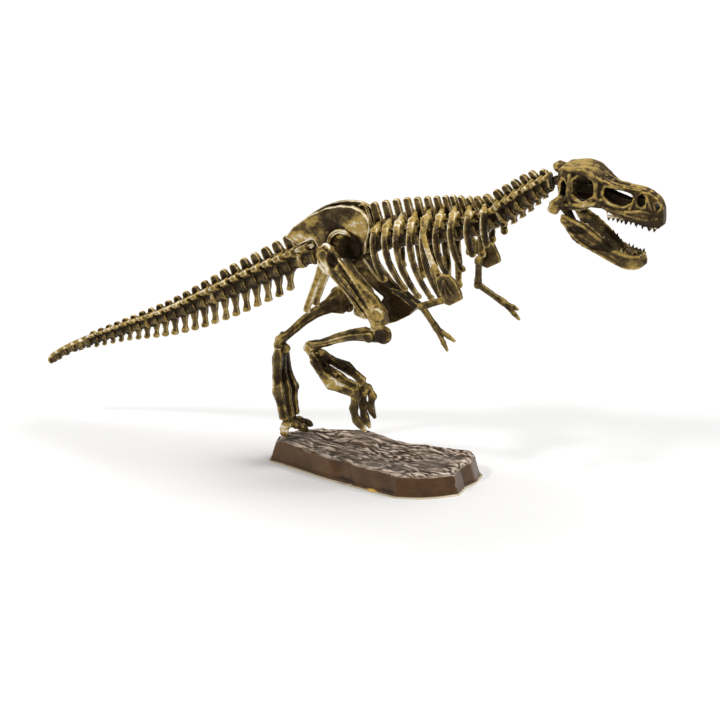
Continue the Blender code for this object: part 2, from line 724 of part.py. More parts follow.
def skull(name):
    """The skull with its openings, the braincase inside and the upper teeth."""
    shell = bmesh.new()
    loft(shell, [skull_ring(*row, 0.0) for row in SKULL])
    inner = bmesh.new()
    rings = []
    for x in SKULL_HOLLOW:
        low, high, below, above = (slope_value(SKULL, x, column) for column in range(1, 5))
        rings.append(skull_ring(x, low - 3.0, high, below, above, SKULL_WALL))
    loft(inner, rings)
    cutters = [inner]
    for opening in (ORBIT, TEMPORAL_OPENING, SNOUT_PIT, NOSTRIL):
        cutters.append(window(*opening))
    cutters.append(plate(ANTORBITAL, -CUTTER, CUTTER))
    for cutter in cutters:
        shell = combine(name, "DIFFERENCE", shell, [cutter])
    added = []
    for rows in (BRAINCASE, CONDYLE, NUCHAL_KNOB):
        added.append(tube([((x, 0.0, z), half, high) for x, z, half, high in rows], LATERAL, 6))
    for side in (-1.0, 1.0):
        rows = ((QUADRATE[0], 1.8, 1.3), (QUADRATE[1], 3.0, 2.2), (QUADRATE[2], 2.2, 1.6))
        added.append(tube([((x, side * y, z), along, across) for (x, y, z), along, across in rows], AHEAD, 6))
    for step in range(TEETH_IN_ROW):
        x = UPPER_TEETH[0] + (UPPER_TEETH[1] - UPPER_TEETH[0]) * step / (TEETH_IN_ROW - 1)
        low, below = slope_value(SKULL, x, 1), slope_value(SKULL, x, 3)
        long = TOOTH * (0.75 + 0.35 * math.sin(math.pi * (step + 1) / TEETH_IN_ROW))
        for side in (-1.0, 1.0):
            added.append(tooth(Vector((x, side * (below - 0.95), low + 0.6)), TOOTH_WIDE, long + 0.6))
    return make_object(name, combine(name, "UNION", shell, added))


def lower_jaw(name):
    """Both halves of the lower jaw, joined at the chin, with the lower teeth."""
    right = [(Vector((x, -y, z)), high, wall) for x, y, z, high, wall in JAW]
    left = [(Vector((x, y, z)), high, wall) for x, y, z, high, wall in JAW[-2::-1]]
    jaw = tube([*right, *left], UP, 6)
    teeth = []
    for step in range(TEETH_IN_ROW):
        x = LOWER_TEETH[0] + (LOWER_TEETH[1] - LOWER_TEETH[0]) * step / (TEETH_IN_ROW - 1)
        reach, middle, high = (slope_value(JAW, x, column) for column in (1, 2, 3))
        long = TOOTH * 0.8
        for side in (-1.0, 1.0):
            root = Vector((x, side * reach, middle + high - 0.7))
            teeth.append(tooth(root, TOOTH_WIDE * 0.9, -long - 0.7))
    return make_object(name, combine(name, "UNION", jaw, teeth))


def rock_height(x, y):
    """The height of the rock's top, with long shallow ridges and a hump on its far side."""
    hump = 2.0 * math.exp(-(((x - HUMP[0]) / HUMP[2]) ** 2) - ((y - HUMP[1]) / HUMP[3]) ** 2)
    return ROCK_HIGH - 0.3 + 0.25 * math.sin(0.3 * x + 1.1 * y) + hump


def rock_base(name):
    """The rock: a flat foot with a lip, steep smooth sides and a rough, gently ridged top."""
    bm = bmesh.new()
    centre = Vector((0.0, 0.0, 0.0))
    for x, y in ROCK_TOP:
        centre += Vector((x, y, 0.0)) / len(ROCK_TOP)
    rings = []
    for rise, out in ((0.0, 1.0), (0.9, 1.0), (0.95, 0.8), (0.86 * ROCK_HIGH, 0.12), (ROCK_HIGH, -0.35)):
        ring = []
        for x, y in ROCK_TOP:
            away = (Vector((x, y, 0.0)) - centre).normalized()
            draft = ROCK_DRAFT + (ROCK_END_DRAFT - ROCK_DRAFT) * abs(away.x)
            high = rise + (rock_height(x, y) - ROCK_HIGH + 0.3 if rise == ROCK_HIGH else 0.0)
            ring.append(Vector((x, y, high)) + away * draft * out)
        rings.append(ring)
    for share in (0.7, 0.4, 0.15):
        ring = []
        for x, y in ROCK_TOP:
            place = centre.lerp(Vector((x, y, 0.0)), share)
            place.z = rock_height(place.x, place.y)
            ring.append(place)
        rings.append(ring)
    loft(bm, rings)
    return make_object(name, bm, ROCK)


def main():
    for old in list(bpy.data.objects):
        bpy.data.objects.remove(old)
    tail = vertebra_ends(LAST_SPINE, TAIL_END, TAIL_COUNT, TAIL_GROWTH)
    first_cut, second_cut = TAIL_COUNT // 3, 2 * TAIL_COUNT // 3
    tip = vertebra_ends(TAIL_TIP_END, LAST_SPINE, TIP_COUNT)
    tip_marks = [*tip[:-1], *tail[: first_cut + 1]]
    make_object("tail_tip", column(tip_marks))
    make_object("tail_middle", column([tail[first_cut] + GAP, *tail[first_cut + 1 : second_cut + 1]]))
    make_object("tail_base", column([tail[second_cut] + GAP, *tail[second_cut + 1 :]]))
    make_object("sacrum", column(vertebra_ends(TAIL_END + GAP, SACRUM_END, SACRUM_COUNT)))
    make_object("neck", column(vertebra_ends(TRUNK_END + GAP, NECK_END, NECK_COUNT, TRUNK_GROWTH)))
    for side, word in ((-1.0, "right"), (1.0, "left")):
        leg = RIGHT_LEG if side < 0 else LEFT_LEG
        arm = RIGHT_ARM if side < 0 else LEFT_ARM
        trunk(side, "trunk_" + word)
        pelvis(side, "pelvis_" + word)
        thigh(leg, side, "thigh_" + word)
        shin(leg, side, "shin_" + word)
        foot(leg, side, "foot_" + word)
        toes(RIGHT_TOES if side < 0 else LEFT_TOES, "toes_" + word)
        shoulder(side, "shoulder_" + word)
        upper_arm(arm, side, "upper_arm_" + word)
        hand(arm, RIGHT_FINGERS if side < 0 else LEFT_FINGERS, side, "hand_" + word)
    skull("skull")
    lower_jaw("lower_jaw")
    rock_base("rock_base")


main()
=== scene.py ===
"""A glossy moulded-plastic skeleton kit of a large theropod, standing on its painted rock.

Every casting starts from a merged copy of its frame node. Bosses, rims, bars and teeth that are
modelled on the bench are added to it, the whole is fused, hollowed along its broad sides the way
such mouldings are, and painted: a near-black plastic with an olive-gold wash brushed on the edges,
cream painted highlights on the sharpest edges and tops, and painted shade in creases, hollows and
openings.
"""

import logging
import math
from collections.abc import Callable, Iterator, Sequence
from dataclasses import dataclass, field
from enum import Enum

import bpy
import numpy as np
from mathutils import Matrix, Quaternion, Vector, noise
from mathutils.bvhtree import BVHTree


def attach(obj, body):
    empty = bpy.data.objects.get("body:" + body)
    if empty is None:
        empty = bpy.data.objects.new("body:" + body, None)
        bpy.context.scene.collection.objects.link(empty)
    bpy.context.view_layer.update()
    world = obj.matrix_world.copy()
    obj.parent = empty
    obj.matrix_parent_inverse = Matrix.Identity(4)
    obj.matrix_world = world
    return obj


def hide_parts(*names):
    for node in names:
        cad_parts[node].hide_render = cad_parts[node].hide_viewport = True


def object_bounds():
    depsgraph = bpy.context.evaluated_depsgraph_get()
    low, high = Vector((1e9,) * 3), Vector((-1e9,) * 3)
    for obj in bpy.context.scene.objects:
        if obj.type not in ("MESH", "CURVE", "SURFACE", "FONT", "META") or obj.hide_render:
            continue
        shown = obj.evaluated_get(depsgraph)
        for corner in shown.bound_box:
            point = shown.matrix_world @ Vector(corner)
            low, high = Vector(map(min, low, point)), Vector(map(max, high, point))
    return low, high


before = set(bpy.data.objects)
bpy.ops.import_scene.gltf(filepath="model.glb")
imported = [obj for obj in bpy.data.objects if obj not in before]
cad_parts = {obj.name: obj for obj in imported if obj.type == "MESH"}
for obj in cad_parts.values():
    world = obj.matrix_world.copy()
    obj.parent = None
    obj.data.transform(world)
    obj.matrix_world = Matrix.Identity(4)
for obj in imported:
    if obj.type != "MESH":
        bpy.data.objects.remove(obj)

CAD_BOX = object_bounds()
MM = 0.001
# How far each half of the rib cage stays from the middle plane, in millimetres.
SEAM = 0.02
UP = Vector((0.0, 0.0, 1.0))
LATERAL = Vector((0.0, 1.0, 0.0))
AHEAD = Vector((1.0, 0.0, 0.0))
BOTH_SIDES = (-1.0, 1.0)
FAR = 60.0  # where a probing ray starts, beyond the whole skeleton's side
BUMP_DEEP = 0.1 * MM  # how deep the paint's finest bump is at full strength

Point = tuple[float, float, float]
Ends = tuple[Point, Point]
Piece = bpy.types.Object

log = logging.getLogger("skeleton")


class Side(Enum):
    """The animal's own sides, by the sign of Y."""

    RIGHT = -1.0
    LEFT = 1.0

    @property
    def word(self) -> str:
        """The side's word in the names of the nodes."""
        return self.name.lower()


# ---------------------------------------------------------------- paint


@dataclass(frozen=True)
class BonePaint:
    """Dark moulded plastic with an olive-gold wash on its edges, cream painted highlights on the sharpest of
    them and on tops, and painted shade in creases, hollows and on forward-facing sides.
    """

    # painted shade: the near-black brown put into creases, hollows and the darkest spots
    crease_shade: Point = (0.009, 0.005, 0.002)
    plastic: Point = (0.032, 0.019, 0.008)
    olive: Point = (0.150, 0.104, 0.042)
    gold: Point = (0.44, 0.30, 0.078)
    # painted highlight: the cream put on the sharpest edges and on upward-facing tops
    cream_highlight: Point = (0.88, 0.80, 0.64)
    specular: float = 0.17
    reflection: Point = (1.0, 0.78, 0.52)
    roughness: tuple[float, float] = (0.18, 0.34)
    gold_over: tuple[float, float] = (0.06, 0.46)
    cream_highlight_over: tuple[float, float] = (0.46, 0.80)
    relief: float = 0.10

    def material(self, name: str) -> bpy.types.Material:
        """Builds the paint's nodes.

        Args:
            name: The material's name.

        Returns:
            The new material, which reads the castings' edge and form attributes and their attribute of wash
            and painted light.
        """
        paint = Nodes(name)
        blotch = paint.pattern(150.0, 4.0, 0.62)
        streak = paint.pattern(620.0, 3.0, 0.55, stretch=(0.45, 1.0, 1.0))
        grain = paint.pattern(2600.0, 2.0, 0.5)
        edge, form, wash_and_painted_light = (paint.attribute(kept) for kept in ("edge", "form", "wash_and_painted_light"))
        # painted light by facing: upward-facing surfaces get more gold and cream as painted highlight, and
        # forward-facing ones go darker as painted shade
        rise, ahead = (paint.facing(axis) for axis in "ZX")
        tone = paint.total((form, 0.55), (blotch, 1.6), (ahead, -0.16), (wash_and_painted_light, 0.8))
        low = paint.total((edge, 1.6), (form, 0.75))
        sharp = paint.total(
            (edge, 2.1),
            (form, 0.50),
            (rise, 0.14),
            (ahead, -0.12),
            (blotch, 0.85),
            (streak, 0.85),
            (wash_and_painted_light, 1.0),
        )
        body = paint.mix(paint.smooth(tone, -0.26, 0.26), self.plastic, self.olive)
        # painted shade: creases and hollows, and spots with negative wash, go near-black
        body = paint.mix(paint.smooth(low, 0.04, -0.24), body, self.crease_shade)
        body = paint.mix(paint.smooth(wash_and_painted_light, -0.15, -0.9), body, self.crease_shade)
        body = paint.mix(paint.smooth(sharp, *self.gold_over), body, self.gold)
        # painted highlight: cream over the sharpest, upward-facing and most washed places
        body = paint.mix(paint.smooth(sharp, *self.cream_highlight_over), body, self.cream_highlight)
        dull = paint.ranged(streak, -0.2, 0.2, *self.roughness)
        return paint.finish(body, dull, grain, self.relief, self.specular, self.reflection)


@dataclass(frozen=True)
class RockPaint:
    """Chocolate plastic with a pale pinkish brush over its ridges, painted shade in its hollows, and a thin
    pale lip at the foot.
    """

    # painted shade: this dark brown is put into the hollows of the top
    hollow: Point = (0.032, 0.020, 0.012)
    slate: Point = (0.118, 0.086, 0.062)
    chocolate: Point = (0.072, 0.036, 0.016)
    side: Point = (0.130, 0.064, 0.026)
    brushed: Point = (0.62, 0.50, 0.40)
    lip: Point = (0.72, 0.62, 0.42)
    spot: Point = (0.85, 0.55, 0.10)
    spot_at: Point = (0.0099, -0.0181, 0.0006)
    spot_reach: Point = (0.0042, 0.0030, 0.0012)
    lip_high: float = 0.00062
    specular: float = 0.45
    reflection: Point = (1.0, 0.84, 0.68)
    roughness: tuple[float, float] = (0.16, 0.34)
    brushed_over: tuple[float, float] = (-0.10, 0.62)
    relief: float = 0.12

    def material(self, name: str) -> bpy.types.Material:
        """Builds the paint's nodes.

        Args:
            name: The material's name.

        Returns:
            The new material for the rock.
        """
        paint = Nodes(name)
        patch = paint.pattern(75.0, 4.0, 0.6)
        streak = paint.pattern(420.0, 4.0, 0.6, stretch=(0.35, 1.0, 1.0))
        grain = paint.pattern(2300.0, 2.0, 0.5)
        edge, form = (paint.attribute(kept) for kept in ("edge", "form"))
        top = paint.smooth(paint.facing("Z"), 0.25, 0.75)
        stone = paint.mix(paint.smooth(patch, -0.06, 0.10), self.chocolate, self.slate)
        wall = paint.mix(paint.smooth(patch, -0.15, 0.18), self.side, self.chocolate)
        body = paint.mix(top, wall, stone)
        # painted shade in the hollows
        body = paint.mix(paint.smooth(form, 0.02, -0.20), body, self.hollow)
        bare = paint.ranged(top, 0.0, 1.0, -0.38, 0.0)
        sharp = paint.total((edge, 2.6), (form, 0.9), (streak, 1.7), (bare, 1.0))
        body = paint.mix(paint.smooth(sharp, *self.brushed_over), body, self.brushed)
        low = paint.smooth(paint.height(), self.lip_high + 0.0003, self.lip_high - 0.0002)
        body = paint.mix(paint.total((low, 0.85)), body, self.lip)
        body = paint.mix(paint.near(self.spot_at, self.spot_reach), body, self.spot)
        dull = paint.ranged(streak, -0.2, 0.2, *self.roughness)
        return paint.finish(body, dull, grain, self.relief, self.specular, self.reflection)


class Nodes:
    """A material under construction, with one method for each step that the paints are mixed from."""

    def __init__(self, name: str) -> None:
        """Starts a material with only its output and shader.

        Args:
            name: The material's name.
        """
        self.made = bpy.data.materials.new(name)
        self.made.use_nodes = True
        self.tree = self.made.node_tree
        self.shader = self.tree.nodes["Principled BSDF"]
        self.place = self.tree.nodes.new("ShaderNodeTexCoord").outputs["Object"]

    def _link(self, source: object, socket: bpy.types.NodeSocket) -> None:
        """Links a socket, or sets the value or colour that stands in its place.

        Args:
            source: A socket, or the value or colour itself.
            socket: The input it goes to.
        """
        if isinstance(source, bpy.types.NodeSocket):
            self.tree.links.new(source, socket)
        else:
            socket.default_value = (*source, 1.0) if socket.type == "RGBA" else source

    def _node(self, kind: str, inputs: dict[str | int, object], **settings: object) -> bpy.types.Node:
        """A new node.

        Args:
            kind: Its type, without the shader nodes' common start.
            inputs: A socket or a value for each input that is used.
            settings: What is set on the node itself.

        Returns:
            The node.
        """
        made = self.tree.nodes.new(f"ShaderNode{kind}")
        for key, value in settings.items():
            setattr(made, key, value)
        for key, source in inputs.items():
            self._link(source, made.inputs[key])
        return made

    def pattern(self, scale: float, detail: float, rough: float, stretch: Point = (1.0, 1.0, 1.0)) -> object:
        """A noise pattern over the piece.

        Args:
            scale: Repeats to a metre.
            detail: Octaves.
            rough: How strong the finer octaves are.
            stretch: Factors on the three axes.

        Returns:
            The pattern's socket, from -0.5 to 0.5.
        """
        spread = self._node("Mapping", {"Vector": self.place, "Scale": stretch})
        inputs = {"Vector": spread.outputs["Vector"], "Scale": scale, "Detail": detail, "Roughness": rough}
        return self._math("ADD", self._node("TexNoise", inputs).outputs["Fac"], -0.5)

    def attribute(self, name: str) -> object:
        """A number kept on each vertex, by name."""
        return self._node("Attribute", {}, attribute_name=name).outputs["Fac"]

    def facing(self, axis: str) -> object:
        """How far the surface faces along an axis, from -1 to 1."""
        normal = self._node("NewGeometry", {}).outputs["Normal"]
        return self._node("SeparateXYZ", {"Vector": normal}).outputs[axis]

    def height(self) -> object:
        """The height over the floor, in metres."""
        return self._node("SeparateXYZ", {"Vector": self.place}).outputs["Z"]

    def _math(self, kind: str, *values: object) -> object:
        """A Math node on values or their sockets."""
        return self._node("Math", dict(enumerate(values)), operation=kind).outputs[0]

    def total(self, *terms: tuple[object, float]) -> object:
        """The sum of pairs of a value's socket and its weight.

        Args:
            terms: The pairs; a value may stand in for a socket.

        Returns:
            The sum's socket.
        """
        made = 0.0
        for value, weight in terms:
            made = self._math("MULTIPLY_ADD", value, weight, made)
        return made

    def ranged(
        self, value: object, low: float, high: float, to_low: float, to_high: float, soft: str = "LINEAR"
    ) -> object:
        """A value moved from one range to another and kept inside it.

        Args:
            value: The value's socket.
            low: The lower end of the range it comes in.
            high: The upper end of that range.
            to_low: What the lower end becomes.
            to_high: What the upper end becomes.
            soft: How it runs between the ends.

        Returns:
            The new value's socket.
        """
        inputs = {"Value": value, "From Min": low, "From Max": high, "To Min": to_low, "To Max": to_high}
        return self._node("MapRange", inputs, interpolation_type=soft).outputs["Result"]

    def smooth(self, value: object, start: float, end: float) -> object:
        """A soft step from 0 at start to 1 at end; end may be the lower one."""
        flip = end < start
        low, high = sorted((start, end))
        return self.ranged(value, low, high, float(flip), float(not flip), "SMOOTHSTEP")

    def near(self, centre: Point, reach: Point) -> object:
        """A soft spot that is 1 at its centre.

        Args:
            centre: The middle of the spot, in metres.
            reach: Its half sizes.

        Returns:
            The spot's socket.
        """
        location = tuple(-c / r for c, r in zip(centre, reach))
        scale = tuple(1.0 / r for r in reach)
        shift = self._node("Mapping", {"Vector": self.place, "Location": location, "Scale": scale})
        length = self._node("VectorMath", {0: shift.outputs["Vector"]}, operation="LENGTH")
        return self.smooth(length.outputs["Value"], 1.1, 0.6)

    def mix(self, share: object, first: object, second: object) -> object:
        """A colour between two.

        Args:
            share: How much of the second shows.
            first: A colour or its socket.
            second: A colour or its socket.

        Returns:
            The mixed colour's socket.
        """
        node = self._node("Mix", {"Factor": share}, data_type="RGBA")
        for source, socket in zip((first, second), (each for each in node.inputs if each.type == "RGBA")):
            self._link(source, socket)
        return next(socket for socket in node.outputs if socket.type == "RGBA")

    def finish(
        self, colour: object, dull: object, grain: object, bump: float, specular: float, tint: Point
    ) -> bpy.types.Material:
        """Wires the colour, roughness and fine bump to the shader.

        Args:
            colour: The colour's socket.
            dull: The roughness socket.
            grain: The pattern of the bump.
            bump: How strong the bump is.
            specular: The plastic's specular level.
            tint: The colour of its reflections.

        Returns:
            The finished material.
        """
        raised = self._node("Bump", {"Strength": bump, "Distance": BUMP_DEEP, "Height": grain})
        for name, source in (
            ("Base Color", colour),
            ("Roughness", dull),
            ("Specular IOR Level", specular),
            ("Specular Tint", tint),
            ("Normal", raised.outputs["Normal"]),
        ):
            self._link(source, self.shader.inputs[name])
        return self.made


# ---------------------------------------------------------------- bench


def release() -> None:
    """Leaves edit mode and deselects everything."""
    if bpy.context.object and bpy.context.object.mode != "OBJECT":
        bpy.ops.object.mode_set(mode="OBJECT")
    bpy.ops.object.select_all(action="DESELECT")


def hold(piece: Piece, *others: Piece) -> None:
    """Selects pieces, with the first one active.

    Args:
        piece: The piece that becomes the active one.
        others: More pieces that are selected with it.
    """
    release()
    for each in (piece, *others):
        each.select_set(True)
    bpy.context.view_layer.objects.active = piece


def modify(piece: Piece, kind: str, **settings: object) -> None:
    """Adds a modifier and applies it.

    Args:
        piece: The piece it works on.
        kind: The modifier's type.
        settings: What is set on it.
    """
    hold(piece)
    bpy.ops.object.modifier_add(type=kind)
    made = piece.modifiers[-1]
    for key, value in settings.items():
        setattr(made, key, value)
    bpy.ops.object.modifier_apply(modifier=made.name)


def pick(piece: Piece, test: Callable[[Vector, Vector], bool]) -> None:
    """Selects the faces that pass a test, and enters edit mode.

    Args:
        piece: The piece whose faces are picked.
        test: Says from a face's centre and normal whether it is picked.
    """
    hold(piece)
    bpy.ops.object.mode_set(mode="EDIT")
    bpy.ops.mesh.select_mode(type="FACE")
    bpy.ops.mesh.select_all(action="DESELECT")
    bpy.ops.object.mode_set(mode="OBJECT")
    for face in piece.data.polygons:
        face.select = test(face.center, face.normal)
    bpy.ops.object.mode_set(mode="EDIT")


def open_whole(piece: Piece) -> None:
    """Enters edit mode with everything selected."""
    hold(piece)
    bpy.ops.object.mode_set(mode="EDIT")
    bpy.ops.mesh.select_all(action="SELECT")


def fuse(piece: Piece, voxel: float, soften: int) -> None:
    """Rebuilds a piece as one even skin of small cells, and softens it."""
    modify(piece, "REMESH", mode="VOXEL", voxel_size=voxel * MM, adaptivity=0.0)
    modify(piece, "SMOOTH", factor=0.5, iterations=soften)


def sided(place: Sequence[float], side: float) -> Vector:
    """A place given by its reach from the middle plane, on one side of it."""
    return Vector((place[0], side * place[1], place[2]))


def ease(share: np.ndarray) -> np.ndarray:
    """Softens both ends of a run from 0 to 1."""
    return share * share * (3.0 - 2.0 * share)


def slope(rows: Sequence[Sequence[float]], x: float, column: int) -> float:
    """The value of a column of rows at x, on straight runs between the rows."""
    return float(np.interp(x, [row[0] for row in rows], [row[column] for row in rows]))


class Stock:
    """The small forms that repeat, each modelled once and copied to where it is needed."""

    def __init__(self) -> None:
        """Models the forms, all about one unit in size at the origin."""
        self.boss = self._boss()
        self.rim = self._rim()
        self.cap = self._cap()
        self.tooth = self._tooth()

    @staticmethod
    def _boss() -> Piece:
        """A rounded knob with a worn, dished top.

        Returns:
            The form, about one unit in size at the origin.
        """
        release()
        bpy.ops.mesh.primitive_uv_sphere_add(segments=14, ring_count=9, radius=1.0)
        made = bpy.context.object
        pick(made, lambda centre, normal: normal.z > 0.78)
        bpy.ops.mesh.inset(thickness=0.16)
        bpy.ops.transform.translate(value=(0.0, 0.0, -0.2))
        release()
        return made

    @staticmethod
    def _rim() -> Piece:
        """The rim of a vertebra, a short disc across X with dished ends.

        Returns:
            The form, about one unit in size at the origin.
        """
        release()
        across = (0.0, math.pi / 2, 0.0)
        bpy.ops.mesh.primitive_cylinder_add(vertices=20, radius=1.0, depth=1.0, rotation=across)
        made = bpy.context.object
        bpy.ops.object.transform_apply(location=False, rotation=True, scale=False)
        pick(made, lambda centre, normal: abs(normal.x) > 0.9)
        bpy.ops.mesh.bevel(offset=0.22, segments=2, affect="EDGES")
        release()
        pick(made, lambda centre, normal: abs(normal.x) > 0.99 and centre.yz.length < 0.5)
        bpy.ops.mesh.inset(thickness=0.2)
        bpy.ops.transform.resize(value=(0.7, 1.0, 1.0))
        release()
        return made

    @staticmethod
    def _cap() -> Piece:
        """The thickened tip of a spine, long along X and rounded over.

        Returns:
            The form, about one unit in size at the origin.
        """
        release()
        bpy.ops.mesh.primitive_cube_add(size=2.0)
        made = bpy.context.object
        pick(made, lambda centre, normal: normal.z < -0.9)
        bpy.ops.transform.resize(value=(0.75, 0.5, 1.0))
        release()
        modify(made, "BEVEL", width=0.5, segments=3)
        return made

    @staticmethod
    def _tooth() -> Piece:
        """A pointed tooth that hangs from the origin and curves back.

        Returns:
            The form, about one unit in size at the origin.
        """
        release()
        middle = (0.0, 0.0, 0.5)
        bpy.ops.mesh.primitive_cone_add(vertices=10, radius1=0.5, radius2=0.06, depth=1.0, location=middle)
        made = bpy.context.object
        bpy.ops.object.transform_apply(location=True, rotation=False, scale=False)
        for height in (0.25, 0.5, 0.75):
            open_whole(made)
            bpy.ops.mesh.bisect(plane_co=(0.0, 0.0, height), plane_no=(0.0, 0.0, 1.0))
            release()
        for vert in made.data.vertices:
            belly = 1.0 + 0.35 * math.sin(math.pi * min(vert.co.z, 1.0))
            vert.co = (vert.co.x * belly - 0.26 * vert.co.z**2, vert.co.y * belly * 0.8, -vert.co.z)
        open_whole(made)
        bpy.ops.mesh.normals_make_consistent(inside=False)
        release()
        return made

    def put(self, form: Piece, centre: Vector, size: Point, ahead: Vector = AHEAD, up: Vector = UP) -> Piece:
        """Copies a form to a place.

        Args:
            form: Which of the stock's forms.
            centre: Where its origin goes, in millimetres.
            size: Factors along its own three axes, in millimetres.
            ahead: Where its X points.
            up: Where its Z points, about.

        Returns:
            The copy, with its own mesh, in metres.
        """
        x_axis = ahead.normalized()
        y_axis = up.cross(x_axis).normalized()
        z_axis = x_axis.cross(y_axis)
        turn = Matrix((x_axis, y_axis, z_axis)).transposed().to_4x4()
        place = Matrix.Translation(centre * MM) @ turn @ Matrix.Diagonal((*(MM * s for s in size), 1.0))
        made = bpy.data.objects.new(form.name, form.data.copy())
        bpy.context.collection.objects.link(made)
        made.data.transform(place)
        return made

    def knob(self, centre: Vector, size: Point, ahead: Vector = AHEAD, up: Vector = UP) -> Piece:
        """Copies the rounded knob to a place."""
        return self.put(self.boss, centre, size, ahead, up)

    def clear(self) -> None:
        """Removes the masters."""
        for form in (self.boss, self.rim, self.cap, self.tooth):
            bpy.data.objects.remove(form)


def bar(points: Sequence[Vector], radii: Sequence[float], closed: bool = False) -> Piece:
    """A rounded bar that runs through points.

    Args:
        points: Where it goes, in millimetres.
        radii: Its radius at each point.
        closed: Whether it is a loop.

    Returns:
        The bar as a closed mesh, in metres.
    """
    release()
    bpy.ops.curve.primitive_nurbs_path_add()
    made = bpy.context.object
    run = made.data
    run.splines.clear()
    line = run.splines.new("NURBS")
    line.points.add(len(points) - 1)
    for spot, point, radius in zip(line.points, points, radii):
        spot.co = (*(point * MM), 1.0)
        spot.radius = radius
    line.order_u = 3
    line.use_endpoint_u = not closed
    line.use_cyclic_u = closed
    line.resolution_u = 4
    run.dimensions = "3D"
    run.bevel_depth = MM
    run.bevel_resolution = 2
    run.use_fill_caps = True
    bpy.ops.object.convert(target="MESH")
    return bpy.context.object


class Probe:
    """Finds where straight lines meet a node of the frame, in millimetres."""

    def __init__(self, node: str) -> None:
        """Readies a node for probing.

        Args:
            node: The node's name.
        """
        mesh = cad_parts[node].data
        corners = [vert.co / MM for vert in mesh.vertices]
        self.tree = BVHTree.FromPolygons(corners, [tuple(face.vertices) for face in mesh.polygons])

    def hit(self, start: Vector, way: Vector) -> Vector | None:
        """The first point that a line meets, or None."""
        return self.tree.ray_cast(start, way.normalized())[0]

    def flank(self, x: float, z: float, side: float, otherwise: float) -> Vector:
        """The outermost point of the node at some x and height.

        Args:
            x: The place along the animal.
            z: The height.
            side: The sign of Y it is looked at from.
            otherwise: The reach to use where the line misses.

        Returns:
            The point.
        """
        found = self.hit(Vector((x, side * FAR, z)), Vector((0.0, -side, 0.0)))
        return found if found is not None and found.y * side > 0 else Vector((x, side * otherwise, z))

    def top(self, x: float, y: float, otherwise: float) -> Vector:
        """The highest point of the node over some x and y."""
        found = self.hit(Vector((x, y, 4 * FAR)), Vector((0.0, 0.0, -1.0)))
        return found if found is not None else Vector((x, y, otherwise))


# ---------------------------------------------------------------- castings


@dataclass(frozen=True)
class Mark:
    """A soft spot on a casting, in millimetres: more wash or less of it, as gold, painted highlight or
    painted shade, and perhaps a dent.
    """

    at: Point
    reach: Point
    wash_and_painted_light: float = 0.0
    dent: float = 0.0

    def on(self, side: float) -> "Mark":
        """The same spot on one side of the animal, for a spot given by its reach from the middle."""
        return Mark((self.at[0], side * self.at[1], self.at[2]), self.reach, self.wash_and_painted_light, self.dent)

    def share(self, places: np.ndarray) -> np.ndarray:
        """How much of the spot each place takes.

        Args:
            places: Rows of places, in metres.

        Returns:
            Numbers from 0 outside the spot to 1 in its middle.
        """
        off = np.linalg.norm((places / MM - np.array(self.at)) / np.array(self.reach), axis=1)
        return ease(np.clip(1.7 * (1.0 - off), 0.0, 1.0))


@dataclass
class Moulding:
    """How one casting is fused and worn, in millimetres."""

    voxel: float = 0.36
    soften: int = 5
    swell: float = 0.14
    hollow: float = 0.0
    hollow_from: float = 0.72
    grain: float = 0.16
    grain_size: float = 1.5
    lumps: float = 0.22
    lump_size: float = 5.0


